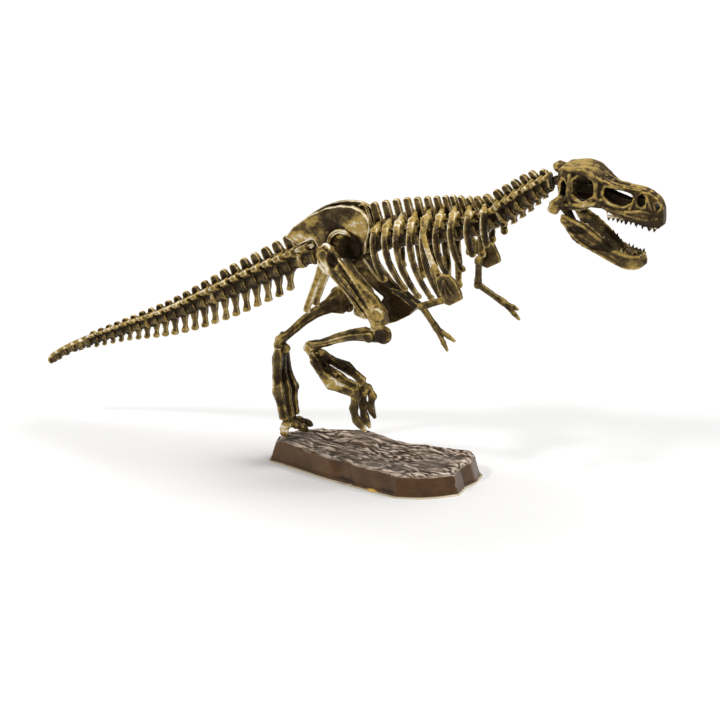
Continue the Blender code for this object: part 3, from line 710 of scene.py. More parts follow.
@dataclass
class Casting:
    node: str
    slot: str
    paint: bpy.types.Material
    moulding: Moulding
    added: list[Piece] = field(default_factory=list)
    loose: list[Piece] = field(default_factory=list)
    marks: Sequence[Mark] = ()
    bias: float = 0.0
    shape: Callable[[np.ndarray], np.ndarray] | None = None

    def _start(self) -> Piece:
        """A merged copy of the node's mesh.

        Returns:
            The copy.
        """
        made = bpy.data.objects.new(f"{self.node}_casting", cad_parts[self.node].data.copy())
        bpy.context.collection.objects.link(made)
        made.data.materials.clear()
        open_whole(made)
        bpy.ops.mesh.remove_doubles(threshold=0.001 * MM)
        release()
        return made

    def _halve(self, made: Piece, side: float) -> None:
        """Cuts off what stands past the middle plane, and closes the cut.

        Args:
            made: The piece.
            side: The sign of Y of the half that is kept.
        """
        set_places(made, vertex_places(made) / MM)
        open_whole(made)
        bpy.ops.mesh.bisect(
            plane_co=(0.0, side * SEAM, 0.0), plane_no=(0.0, side, 0.0), clear_inner=True, use_fill=True
        )
        release()
        set_places(made, vertex_places(made) * MM)

    def _hollow(self, made: Piece) -> None:
        """Sinks the middles of the broad sides, so that their borders stand up as ridges.

        Args:
            made: The piece.
        """
        mould = self.moulding
        places, normals = vertex_places(made), vertex_normals(made)
        share = np.clip((np.abs(normals[:, 1]) - mould.hollow_from) / (1.0 - mould.hollow_from), 0.0, 1.0)
        depth = ease(share) * mould.hollow - mould.swell
        for mark in self.marks:
            if mark.dent:
                depth += mark.share(places) * mark.dent
        places -= normals * (depth * MM)[:, None]
        set_places(made, self.shape(places) if self.shape else places)

    def _brush(self, made: Piece) -> None:
        """Keeps on each vertex how much more wash and painted light it takes than its relief gives it.

        Args:
            made: The piece.
        """
        places = vertex_places(made)
        wash_and_painted_light = np.full(len(places), self.bias)
        for mark in self.marks:
            if mark.wash_and_painted_light:
                wash_and_painted_light += mark.share(places) * mark.wash_and_painted_light
        # the marks' wash and their painted highlights and painted shade, kept on each vertex
        kept = made.data.attributes.new("wash_and_painted_light", "FLOAT", "POINT")
        kept.data.foreach_set("value", wash_and_painted_light.astype(np.float32))

    def _roughen(self, made: Piece, size: float, depth: float, seed: str) -> None:
        """Displaces the skin by a soft pattern.

        Args:
            made: The piece.
            size: The pattern's size, in millimetres.
            depth: How deep it is, in millimetres.
            seed: A word that tells the patterns of a piece apart.
        """
        pattern = bpy.data.textures.new(f"{self.node}_{seed}", "CLOUDS")
        pattern.noise_scale = size * MM
        pattern.noise_depth = 1
        modify(made, "DISPLACE", texture=pattern, strength=depth * MM, texture_coords="LOCAL")

    def finish(self, side: float = 0.0) -> Piece:
        """Fuses, wears and paints the casting, and sets it in the frame.

        Args:
            side: The half that it is cut to, or 0 for a whole one.

        Returns:
            The finished piece.
        """
        mould = self.moulding
        made = self._start()
        if self.added:
            hold(made, *self.added)
            bpy.ops.object.join()
        fuse(made, mould.voxel, mould.soften)
        self._hollow(made)
        modify(made, "SMOOTH", factor=0.5, iterations=1)
        self._roughen(made, mould.lump_size, mould.lumps, "lumps")
        self._roughen(made, mould.grain_size, mould.grain, "grain")
        if self.loose:
            hold(made, *self.loose)
            bpy.ops.object.join()
        keep_in_box(made)
        measure_relief(made)
        self._brush(made)
        if side:
            self._halve(made, side)
        return dress(made, self.paint, self.node)


def vertex_places(made: Piece) -> np.ndarray:
    """The places of a piece's vertices, as rows."""
    found = np.empty(len(made.data.vertices) * 3, np.float32)
    made.data.vertices.foreach_get("co", found)
    return found.reshape(-1, 3).astype(float)


def vertex_normals(made: Piece) -> np.ndarray:
    """The normals of a piece's vertices, as rows."""
    found = np.empty(len(made.data.vertices) * 3, np.float32)
    made.data.vertex_normals.foreach_get("vector", found)
    return found.reshape(-1, 3).astype(float)


def set_places(made: Piece, places: np.ndarray) -> None:
    """Moves a piece's vertices to new places."""
    made.data.vertices.foreach_set("co", places.astype(np.float32).ravel())
    made.data.update()


def keep_in_box(made: Piece) -> None:
    """Keeps every vertex inside the frame's own box."""
    low, high = (np.array(corner, float) for corner in CAD_BOX)
    set_places(made, np.clip(vertex_places(made), low, high))


def measure_relief(made: Piece) -> None:
    """Keeps on each vertex how far it stands above the softened surface round it.

    The attribute edge looks a fraction of a millimetre round and form about two. Both are in
    Both are in millimetres, and the paints brush their wash by them and put painted shade in the hollows and
    painted highlights on the sharpest edges.

    Args:
        made: The piece.
    """
    mesh = made.data
    count = len(mesh.vertices)
    ends = np.empty(len(mesh.edges) * 2, np.int32)
    mesh.edges.foreach_get("vertices", ends)
    first, second = ends.reshape(-1, 2).T
    near = np.maximum(np.bincount(first, minlength=count) + np.bincount(second, minlength=count), 1)
    places, normals = vertex_places(made), vertex_normals(made)
    soft = places.copy()
    for name, rounds in (("edge", 5), ("form", 34)):
        for _ in range(rounds):
            total = np.empty_like(soft)
            for axis in range(3):
                total[:, axis] = np.bincount(first, soft[second, axis], count)
                total[:, axis] += np.bincount(second, soft[first, axis], count)
            soft = 0.4 * soft + 0.6 * total / near[:, None]
        stands = ((places - soft) * normals).sum(1) / MM
        kept = mesh.attributes.new(name, "FLOAT", "POINT")
        kept.data.foreach_set("value", stands.astype(np.float32))


def dress(made: Piece, paint: bpy.types.Material, node: str) -> Piece:
    """Paints a piece, shades it and ties it to the frame.

    Args:
        made: The piece.
        paint: Its material.
        node: The node that it stands for.

    Returns:
        The same piece.
    """
    made.data.materials.clear()
    made.data.materials.append(paint)
    hold(made)
    bpy.ops.object.shade_smooth()
    release()
    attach(made, "root")
    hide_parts(node)
    log.info("%s: %d faces", made.name, len(made.data.polygons))
    return made


# ---------------------------------------------------------------- backbone

# The centres of the vertebrae from the tail's tip to the head, as (x, z).
BACKBONE = (
    (-158.0, 29.3),
    (-150.6, 35.0),
    (-138.2, 42.0),
    (-117.8, 51.7),
    (-96.4, 61.5),
    (-75.1, 73.0),
    (-53.7, 85.1),
    (-32.3, 96.7),
    (-15.5, 103.4),
    (1.5, 108.9),
    (17.0, 113.3),
    (36.9, 118.6),
    (46.0, 121.6),
    (55.0, 126.2),
    (67.0, 135.6),
    (76.7, 143.4),
    (86.5, 150.6),
)


def back(x: float) -> tuple[Vector, Vector, Vector]:
    """The backbone at some x.

    Args:
        x: The place along the animal.

    Returns:
        Its centre, the way it runs and the way its spines stand.
    """
    reach, soft = 3.0, (-2.0, 0.0, 2.0)
    height = [sum(slope(BACKBONE, x + step + more, 1) for more in soft) / 3 for step in (-reach, 0, reach)]
    ahead = Vector((2 * reach, 0.0, height[2] - height[0])).normalized()
    return Vector((x, 0.0, height[1])), ahead, ahead.cross(LATERAL)


def joints(start: float, end: float, count: int, growth: float = 1.0) -> list[float]:
    """The x of each joint between vertebrae.

    Args:
        start: The rear end.
        end: The front end.
        count: How many vertebrae.
        growth: The length of each to that of the one behind it.

    Returns:
        The joints from back to front.
    """
    lengths = np.array([growth**i for i in range(count)])
    ends = np.concatenate(([0.0], np.cumsum(lengths)))
    return [float(x) for x in start + (end - start) * ends / lengths.sum()]


# At some x: how far the vertebrae reach below the line of their centres, the arch and the spine
# above it, half their width, and the reach of the chevrons below.
VERTEBRA_SIZES = (
    (-157.5, 1.8, 1.8, 0.0, 1.8, 0.0),
    (-147.0, 2.0, 2.1, 0.0, 2.0, 2.6),
    (-136.0, 2.2, 2.3, 3.2, 2.2, 3.6),
    (-123.0, 2.5, 2.7, 3.9, 2.4, 5.0),
    (-104.0, 2.9, 3.4, 5.2, 2.8, 8.6),
    (-85.0, 3.1, 4.6, 7.0, 3.1, 11.4),
    (-66.0, 3.3, 5.7, 9.6, 3.4, 12.2),
    (-43.0, 3.5, 6.3, 11.4, 3.7, 11.6),
    (-34.0, 3.6, 6.5, 12.5, 3.6, 0.0),
    (-14.0, 3.7, 7.0, 16.8, 3.3, 0.0),
    (20.0, 3.7, 8.0, 18.2, 3.4, 0.0),
    (45.0, 3.8, 7.6, 16.4, 3.5, 0.0),
    (53.0, 4.2, 6.2, 13.2, 3.8, 0.0),
    (62.0, 4.6, 4.8, 9.9, 4.2, 0.0),
    (72.0, 4.6, 4.6, 9.0, 4.2, 0.0),
    (80.0, 4.2, 4.2, 8.6, 3.9, 0.0),
    (86.5, 3.2, 3.4, 5.2, 3.2, 0.0),
)
# How far ahead of a vertebra's middle its spine and chevron stand, as a share of its length.
SPINE_LEAN = 0.14
# How deep the rounding of a spine's top reaches, in millimetres.
DOME_DEEP = 2.2


@dataclass
class Vertebrae:
    """One length of the backbone: rims at the joints, knuckles over them and caps on the spines."""

    marks: Sequence[float]
    stock: Stock
    bare: int = 0
    side: float = 0.0
    rim_stands: float = 0.35
    knuckle: float = 0.36

    def _sizes(self, x: float) -> tuple[float, float, float, float]:
        """The reach below, the arch, the spine and the half width at x."""
        below, arch, spine, half = (slope(VERTEBRA_SIZES, x, column) for column in (1, 2, 3, 4))
        return below, arch, spine, half

    def _ways(self) -> tuple[float, ...]:
        """The sides that this length has."""
        return (self.side,) if self.side else BOTH_SIDES

    def _cells(self, share: float, bare: int = 0) -> Iterator[tuple[float, Vector, Vector, Vector]]:
        """Each vertebra past the bare ones.

        Args:
            share: How far along it the place is.
            bare: How many are left out at the rear.

        Yields:
            The vertebra's length, and the backbone at that place.
        """
        for low, high in list(zip(self.marks, self.marks[1:]))[bare:]:
            yield high - low, *back(low + share * (high - low))

    def _rims(self) -> list[Piece]:
        """A rim near both ends of each vertebra, and its thinner waist.

        Returns:
            The parts, in metres.
        """
        made = []
        for low, high in zip(self.marks, self.marks[1:]):
            length = high - low
            rims = (low + 0.07 * length, self.rim_stands), (high - 0.1 * length, self.rim_stands)
            for place, stands in (*rims, (low + 0.3 * length, -self.rim_stands)):
                centre, ahead, up = back(place)
                below, arch, _, half = self._sizes(place)
                crown = 0.42 * arch
                middle = centre + up * 0.5 * (crown - below)
                size = (0.1 * length, half + stands, 0.5 * (crown + below) + stands)
                made.append(self.stock.put(self.stock.rim, middle, size, ahead, up))
        return made

    def _knuckles(self) -> list[Piece]:
        """The paired knuckles that lock each vertebra over the next, and the bars up to the spines.

        Returns:
            The parts, in metres.
        """
        made = []
        for length, centre, ahead, up in self._cells(0.14, self.bare):
            _, arch, spine, half = self._sizes(centre.x)
            thick = self.knuckle * half
            for way in self._ways():
                place = centre + up * arch * 0.74 + LATERAL * way * half * 0.62
                size = (thick * 1.5, thick, thick * 0.9)
                made.append(self.stock.knob(place, size, ahead + up * 0.3, up))
                foot = place + ahead * 0.4 * length + up * 0.1 * arch - LATERAL * way * half * 0.25
                head = centre + ahead * 0.36 * length + up * (0.5 * arch + 0.5 * spine) + LATERAL * way * 0.5
                made.append(bar([place, foot, head], (0.2 * half, 0.17 * half, 0.12 * half)))
        return made

    def _caps(self) -> list[Piece]:
        """The thick tips of the neural spines.

        Returns:
            The parts, in metres.
        """
        made = []
        for length, centre, ahead, up in self._cells(0.5, self.bare):
            _, arch, spine, half = self._sizes(centre.x)
            if spine - arch < 0.8:
                continue
            size = (0.27 * length, 0.3 * half, min(1.1, 0.5 * (spine - arch)))
            tip = centre + ahead * SPINE_LEAN * length + up * (spine - 0.9 * size[2])
            made.append(self.stock.put(self.stock.cap, tip, size, ahead, up))
        return made

    def _chevrons(self) -> list[Piece]:
        """The round-footed bones that hang under the tail.

        Returns:
            The parts, in metres.
        """
        made = []
        for length, centre, ahead, up in self._cells(0.5, self.bare):
            below = self._sizes(centre.x)[0]
            drop = slope(VERTEBRA_SIZES, centre.x, 5) - below
            if drop < 0.5:
                continue
            thick = min(1.15, 0.5 + 0.1 * drop)
            fall = up * -1.0 - ahead * 0.42
            root = centre + ahead * SPINE_LEAN * length - up * below
            foot = root + fall * drop * 0.86
            run = [root - fall * 0.8, root.lerp(foot, 0.6), foot]
            made.append(bar(run, (thick * 1.15, thick * 0.8, thick)))
            size = (thick * 1.55, thick * 1.1, thick * 1.3)
            made.append(self.stock.knob(foot - ahead * 0.35, size, ahead - up * 0.3, LATERAL))
        return made

    def painted_glints_and_shade(self) -> list[Mark]:
        """Painted highlights on the knuckles, painted shade low on the sides, and less wash on the tips of
        the spines.

        Returns:
            The marks.
        """
        found = []
        for (length, centre, ahead, up), (_, middle, _, _) in zip(self._cells(0.2), self._cells(0.5)):
            _, arch, spine, half = self._sizes(centre.x)
            for way in self._ways():
                place = centre + up * arch * 0.72 + LATERAL * way * half * 0.8
                low_side = centre - up * 0.4 * half + LATERAL * way * half
                # painted highlight on the knuckle, then painted shade low on the side
                found.append(Mark(tuple(place), (0.5 * length, 0.9 * half, 0.45 * half), wash_and_painted_light=0.46))
                found.append(Mark(tuple(low_side), (length, half, 1.1 * half), wash_and_painted_light=-0.1))
            crown = middle + ahead * SPINE_LEAN * length + up * spine
            found.append(Mark(tuple(crown), (0.6 * length, 0.9 * half, 0.4 * length + 1.0), wash_and_painted_light=-0.2))
        return found

    def dome(self, places: np.ndarray) -> np.ndarray:
        """Rounds the tops of the spines over.

        Args:
            places: Rows of places, in metres.

        Returns:
            The new places.
        """
        places = places / MM
        for length, centre, ahead, up in self._cells(0.5, self.bare):
            tip = centre + ahead * SPINE_LEAN * length + up * self._sizes(centre.x)[2]
            off = places - np.array(tip)
            along, over = off @ np.array(ahead), off @ np.array(up)
            share = np.clip((over + DOME_DEEP) / DOME_DEEP, 0.0, 1.0) * (np.abs(along) < 0.5 * length)
            bend = np.clip(np.abs(along) / (0.34 * length), 0.0, 1.15) ** 4
            places = places - np.array(up) * (share * bend * 0.2 * length)[:, None]
        return places * MM

    def parts(self) -> list[Piece]:
        """Everything that is added to the length, in metres."""
        return [*self._rims(), *self._knuckles(), *self._caps(), *self._chevrons()]


@dataclass
class RibCage:
    """One side of the rib cage: its half of the trunk's backbone and nine ribs."""

    side: Side
    joints_at: Sequence[float]
    stock: Stock
    ribs: tuple[tuple[float, float, float, Point], ...] = (
        (5.6, 8.0, 13.2, (10.6, 9.6, 95.6)),
        (11.2, 9.0, 15.4, (20.6, 9.2, 92.6)),
        (17.0, 10.0, 16.4, (27.0, 8.8, 89.8)),
        (23.7, 10.4, 16.8, (33.2, 8.8, 90.0)),
        (30.4, 10.6, 16.8, (38.0, 8.8, 90.6)),
        (36.9, 10.4, 16.4, (42.8, 9.2, 99.6)),
        (43.4, 10.4, 14.8, (48.6, 10.2, 106.2)),
        (51.0, 8.6, 12.6, (53.4, 10.2, 113.6)),
        (58.2, 6.0, 10.4, (59.6, 9.2, 118.8)),
    )
    short: tuple[int, float] = (5, 7.0)
    bend: float = 8.8

    def _course(self, number: int) -> list[Vector]:
        """The run of one rib from its bend to its tip.

        Args:
            number: Which rib, from the rear.

        Returns:
            Its points, in millimetres.
        """
        x, rise, reach, tip = self.ribs[number]
        way = self.side.value
        low = tip[2] + (self.short[1] if number == self.short[0] and self.side is Side.LEFT else 0.0)
        high = back(x)[0].z + rise
        drop, run = high - low, tip[0] - x
        points = (
            (x + 0.2, self.bend + 0.28 * (reach - self.bend), high - 0.03 * drop),
            (x + 0.16 * run, reach * 0.93, high - 0.2 * drop),
            (x + 0.4 * run, reach, high - 0.46 * drop),
            (x + 0.7 * run, 0.35 * tip[1] + 0.65 * reach, high - 0.74 * drop),
            (tip[0], tip[1], low),
        )
        return [Vector((a, way * b, c)) for a, b, c in points]

    def parts(self) -> list[Piece]:
        """The backbone's detail, and a head, a raised rear edge and a blunt tip on each rib.

        Returns:
            The parts, in metres.
        """
        way = self.side.value
        made = Vertebrae(self.joints_at, self.stock, side=way).parts()
        for number, (x, rise, _, _) in enumerate(self.ribs):
            root, ahead, up = back(x)
            knee = Vector((x - 0.3, way * self.bend, root.z + rise - 0.6))
            made.append(self.stock.knob(knee, (1.9, 1.9, 1.9), AHEAD, UP + LATERAL * way * 0.6))
            made.append(bar([knee, root + up * 3.6 + LATERAL * way * 3.2], (0.9, 0.8)))
            spine = root + up * (rise + 0.4) + ahead * 1.0 + LATERAL * way * 1.8
            made.append(bar([knee, knee.lerp(spine, 0.5) + UP * 0.3, spine], (1.5, 1.4, 1.1)))
            course = self._course(number)
            edge = [point - AHEAD * off for point, off in zip(course, (0.6, 1.15, 1.3, 1.25, 0.4))]
            made.append(bar([knee, *edge], (1.0, 0.85, 0.75, 0.75, 0.8, 1.0)))
            tip = course[-1] + (course[-2] - course[-1]).normalized() * 1.2
            made.append(self.stock.knob(tip, (1.75, 1.15, 1.7), AHEAD, course[-2] - course[-1]))
        return made

    def marks_on(self) -> list[Mark]:
        """Rib heads and rear edges golden, partly painted highlight, over rib faces darkened as painted
        shade.

        Returns:
            The marks.
        """
        found = []
        for number, (x, rise, _, _) in enumerate(self.ribs):
            knee = Vector((x, self.side.value * self.bend, back(x)[0].z + rise))
            # painted highlight on the rib's head
            found.append(Mark((knee.x + 0.4, knee.y, knee.z + 0.4), (3.0, 6.0, 4.4), wash_and_painted_light=0.16))
            for point in self._course(number)[1:4]:
                # painted shade on the rib's front face, painted highlight on its rear edge
                found.append(Mark((point.x + 0.9, point.y, point.z), (1.9, 3.0, 8.0), wash_and_painted_light=-0.34))
                found.append(Mark((point.x - 2.0, point.y, point.z), (1.7, 3.0, 8.0), wash_and_painted_light=0.16))
        return found


# ---------------------------------------------------------------- hips and legs


@dataclass
class HipBone:
    """One hip bone: the rim of its socket, and the gold and dark fields of its blade, with painted shade in
    the socket and on the blade's inner face and a cream painted highlight over the socket.
    """

    side: Side
    socket: tuple[float, float] = (-16.7, 105.0)
    # the socket's pit and the blade's inner face are darkened as painted shade, the arch over the socket is
    # a cream painted highlight, and the other spots make the gold and dark fields of the blade
    spots: tuple[Mark, ...] = (
        Mark((-7.1, 7.0, 106.4), (7.6, 5.0, 9.2), wash_and_painted_light=-1.3, dent=1.2),
        Mark((-4.6, 6.0, 116.6), (8.4, 4.0, 8.4), wash_and_painted_light=0.42),
        Mark((-31.0, 6.0, 107.8), (9.0, 4.0, 4.0), wash_and_painted_light=0.4),
        Mark((-26.0, 6.0, 117.0), (6.0, 4.0, 4.0), wash_and_painted_light=0.3),
        Mark((-19.0, 6.5, 115.6), (9.0, 4.0, 4.6), wash_and_painted_light=-0.14, dent=0.3),
        Mark((-14.0, 6.5, 112.6), (7.0, 4.0, 3.0), wash_and_painted_light=0.46),
        Mark((13.0, 4.0, 85.0), (19.0, 8.0, 15.0), wash_and_painted_light=-0.45),
        Mark((-26.0, 5.0, 88.0), (7.0, 5.0, 17.0), wash_and_painted_light=0.22),
        Mark((-18.0, 4.0, 118.0), (22.0, 1.6, 9.0), wash_and_painted_light=-0.5),
    )

    def parts(self) -> list[Piece]:
        """The socket's rim.

        Returns:
            The parts, in metres.
        """
        way = self.side.value
        probe = Probe(f"pelvis_{self.side.word}")
        ring = []
        for step in range(9):
            angle = math.radians(-15 + 205 * step / 8)
            x = self.socket[0] + 4.4 + 6.4 * math.cos(angle)
            z = self.socket[1] + 1.4 + 7.6 * math.sin(angle)
            ring.append(probe.flank(x, z, way, 6.0))
        return [bar(ring, (0.4, 0.5, 0.6, 0.8, 0.9, 0.9, 0.8, 0.6, 0.5))]


@dataclass
class Leg:
    """One hind leg from the hip to the claws, with its joints in millimetres."""

    side: Side
    stock: Stock
    hip: Point
    knee: Point
    shin_top: Point
    ankle: Point
    foot_top: Point
    ball: Point
    spots: dict[str, tuple[Mark, ...]]

    def _along(self, probe: Probe, ends: Ends, shares: Sequence[float], off: float) -> list[Vector]:
        """Points on a bone's outer side.

        Args:
            probe: The bone's probe.
            ends: Its two joints.
            shares: How far along it each is.
            off: How far in front of its axis they are.

        Returns:
            The points.
        """
        first, last = Vector(ends[0]), Vector(ends[1])
        axis = (last - first).normalized()
        forward = axis.cross(LATERAL)
        if forward.x < 0:
            forward.negate()
        places = [first.lerp(last, share) + forward * off for share in shares]
        return [probe.flank(place.x, place.z, self.side.value, abs(place.y) + 2.0) for place in places]

    def _knobs(self, probe: Probe, ends: Ends, *rows: tuple[float, float, Point]) -> list[Piece]:
        """Knobs on a bone's outer side.

        Args:
            probe: The bone's probe.
            ends: Its two joints.
            rows: How far along it each is, how far in front of its axis, and its half sizes
                along the bone, across it and outwards.

        Returns:
            The knobs.
        """
        axis, out = Vector(ends[1]) - Vector(ends[0]), LATERAL * self.side.value
        made = []
        for share, off, size in rows:
            place = self._along(probe, ends, (share,), off)[0]
            made.append(self.stock.knob(place - out * 0.55 * size[2], size, axis, out))
        return made

    def thigh_parts(self) -> list[Piece]:
        """The trochanter, two condyles and the rough lines down the femur.

        Returns:
            The parts, in metres.
        """
        probe, ends = Probe(f"thigh_{self.side.word}"), (self.hip, self.knee)
        rows = (
            (-0.04, 2.0, (2.6, 2.2, 1.6)),
            (0.10, 3.0, (3.2, 1.3, 1.2)),
            (0.10, -4.4, (4.4, 1.8, 1.6)),
            (0.92, 4.6, (3.2, 2.4, 1.5)),
            (1.0, -1.4, (2.0, 2.2, 1.6)),
        )
        made = self._knobs(probe, ends, *rows)
        inward = LATERAL * self.side.value * 1.2
        for off, radii in ((3.4, (0.9, 0.9, 0.8, 0.9, 1.0)), (-2.8, (1.2, 1.0, 0.9, 0.9, 1.0))):
            run = self._along(probe, ends, (0.14, 0.3, 0.5, 0.7, 0.86), off)
            made.append(bar([point - inward * 0.4 for point in run], radii))
        made.append(bar(self._along(probe, ends, (0.2, 0.36, 0.56, 0.76), 0.7), (0.5, 0.6, 0.6, 0.5)))
        return made

    def shin_parts(self) -> list[Piece]:
        """The crest at the knee, the thin bone beside and the ankle's rounded end.

        Returns:
            The parts, in metres.
        """
        probe, ends = Probe(f"shin_{self.side.word}"), (self.shin_top, self.ankle)
        made = [bar(self._along(probe, ends, (0.1, 0.3, 0.5, 0.75, 0.94), -1.2), (1.0, 0.7, 0.6, 0.7, 1.0))]
        if self.side is Side.RIGHT:
            made += self._knobs(probe, ends, (-0.02, -1.4, (4.8, 4.4, 2.2)), (0.16, -1.2, (3.0, 2.4, 1.4)))
        else:
            made += self._knobs(probe, ends, (0.0, 2.4, (2.4, 2.8, 2.0)), (0.05, -5.4, (3.2, 3.0, 1.8)))
            for off in (-4.6, -2.4):
                made.append(bar(self._along(probe, ends, (0.1, 0.26, 0.42), off), (0.7, 0.6, 0.4)))
        made += self._knobs(probe, ends, (0.96, -0.6, (2.0, 2.3, 1.5)), (1.01, 1.2, (1.5, 1.6, 1.3)))
        ankle, below = Vector(self.ankle), Vector(self.foot_top)
        axis = below - ankle
        made.append(self.stock.knob(ankle.lerp(below, 0.55), (2.5, 3.0, 2.5), axis, LATERAL))
        front = ankle.lerp(below, 0.8) + AHEAD * 2.6
        made.append(self.stock.knob(front, (2.2, 2.4, 1.7), axis, LATERAL))
        return made

    def foot_parts(self) -> list[Piece]:
        """Ridges down the long foot bones, and their knuckles at both ends.

        Returns:
            The parts, in metres.
        """
        probe, ends = Probe(f"foot_{self.side.word}"), (self.foot_top, self.ball)
        made = []
        for off in (-1.6, 1.4):
            made.append(bar(self._along(probe, ends, (0.04, 0.2, 0.4, 0.56), off), (0.9, 0.6, 0.5, 0.9)))
            made += self._knobs(probe, ends, (0.6, off * 1.6, (2.4, 1.6, 1.1)), (0.96, off, (1.8, 1.5, 1.2)))
        return made

    def toe_parts(self, toes: Sequence[Sequence[Point]]) -> list[Piece]:
        """The toes' knuckles, thick joints and curved claws.

        Args:
            toes: The joints of each toe, from the ball of the foot.

        Returns:
            The parts.
        """
        made = []
        ball = Vector(self.ball)
        for run in toes:
            joints_at = [Vector(place) for place in run]
            heel = ball + LATERAL * 0.95 * (joints_at[0].y - ball.y)
            made.append(bar([heel, *joints_at], (1.5, 1.8, 1.45, 1.3, 0.55)))
            for place, size in zip(joints_at[:3], (2.0, 1.85, 1.65)):
                made.append(self.stock.knob(place, (size * 1.1, size, size)))
        return made

    def marks_on(self, part: str) -> list[Mark]:
        """The heavy and bare spots of the wash, partly painted highlight and painted shade.

        Args:
            part: Which part of the leg.

        Returns:
            The marks.
        """
        return [spot.on(self.side.value) for spot in self.spots.get(part, ())]


@dataclass
class Arm:
    """One shoulder and arm: broad-plate ridges, and the knobs of elbow, wrist and claws."""

    side: Side
    stock: Stock
    shoulder: Point
    elbow: Point
    wrist: Point
    claws: Sequence[Point]
    plate: Point

    def _at(self, place: Point) -> Vector:
        """A place given by its reach from the middle plane."""
        return sided(place, self.side.value)

    def shoulder_parts(self) -> list[Piece]:
        """Ridges that fan over the broad plate, and its rim.

        Returns:
            The parts, in metres.
        """
        probe = Probe(f"shoulder_{self.side.word}")
        way = self.side.value
        made = []
        x, _, z = self.plate
        for lean, long in ((-3.6, 4.6), (-0.6, 5.6), (2.6, 4.4)):
            run = ((x - 2.4, z + 4.2), (x - 1.4 + 0.4 * lean, z + 0.6), (x + lean, z + 2.0 - long))
            made.append(bar([probe.flank(a, c, way, 20.0) for a, c in run], (0.6, 0.5, 0.35)))
        strap = ((31.4, 125.4), (34.0, 120.0), (37.4, 113.2), (41.0, 107.2))
        made.append(bar([probe.flank(a, c, way, 19.0) for a, c in strap], (0.8, 0.7, 0.75, 1.0)))
        return made

    def upper_parts(self) -> list[Piece]:
        """Both ends of the humerus and its ridge.

        Returns:
            The parts, in metres.
        """
        start, end = self._at(self.shoulder), self._at(self.elbow)
        made = [bar([start, start.lerp(end, 0.5), end], (1.7, 1.25, 1.7))]
        for place, size in ((start, 2.3), (end, 2.1)):
            made.append(self.stock.knob(place, (size, size * 0.85, size), end - start, LATERAL))
        return made

    def hand_parts(self) -> list[Piece]:
        """The forearm, wrist and curved claws.

        Returns:
            The parts, in metres.
        """
        elbow, wrist = self._at(self.elbow), self._at(self.wrist)
        made = [bar([elbow, elbow.lerp(wrist, 0.45), wrist], (1.6, 1.15, 1.6))]
        made.append(self.stock.knob(wrist, (2.2, 1.6, 1.8), wrist - elbow, LATERAL))
        for claw in self.claws:
            tip = self._at(claw)
            made.append(bar([wrist, wrist.lerp(tip, 0.5), wrist.lerp(tip, 0.8), tip], (1.3, 1.0, 1.05, 0.5)))
            knuckle = wrist.lerp(tip, 0.62)
            made.append(self.stock.knob(knuckle, (1.4, 1.2, 1.3), tip - wrist, LATERAL))
        return made


# ---------------------------------------------------------------- head


@dataclass(frozen=True)
class Window:
    """An opening in the side of the skull: its middle and half sizes."""

    x: float
    z: float
    long: float
    high: float
    rim: float = 0.55

    def ring(self, probe: Probe, side: float, spread: float = 0.55, count: int = 14) -> list[Vector]:
        """Points round the opening, on the skull's side.

        Args:
            probe: The skull's probe.
            side: The sign of Y.
            spread: How far outside the opening they run.
            count: How many there are.

        Returns:
            The points in order.
        """
        found = []
        for step in range(count):
            angle = math.tau * step / count
            uneven = 0.35 * math.sin(3.0 * angle + self.x) + 0.2 * math.sin(5.0 * angle)
            x = self.x + (self.long + spread + uneven) * math.cos(angle)
            z = self.z + (self.high + spread + uneven) * math.sin(angle)
            point = probe.flank(x, z, side, 0.0)
            if abs(point.y) > 0.5:
                found.append(point)
        return found


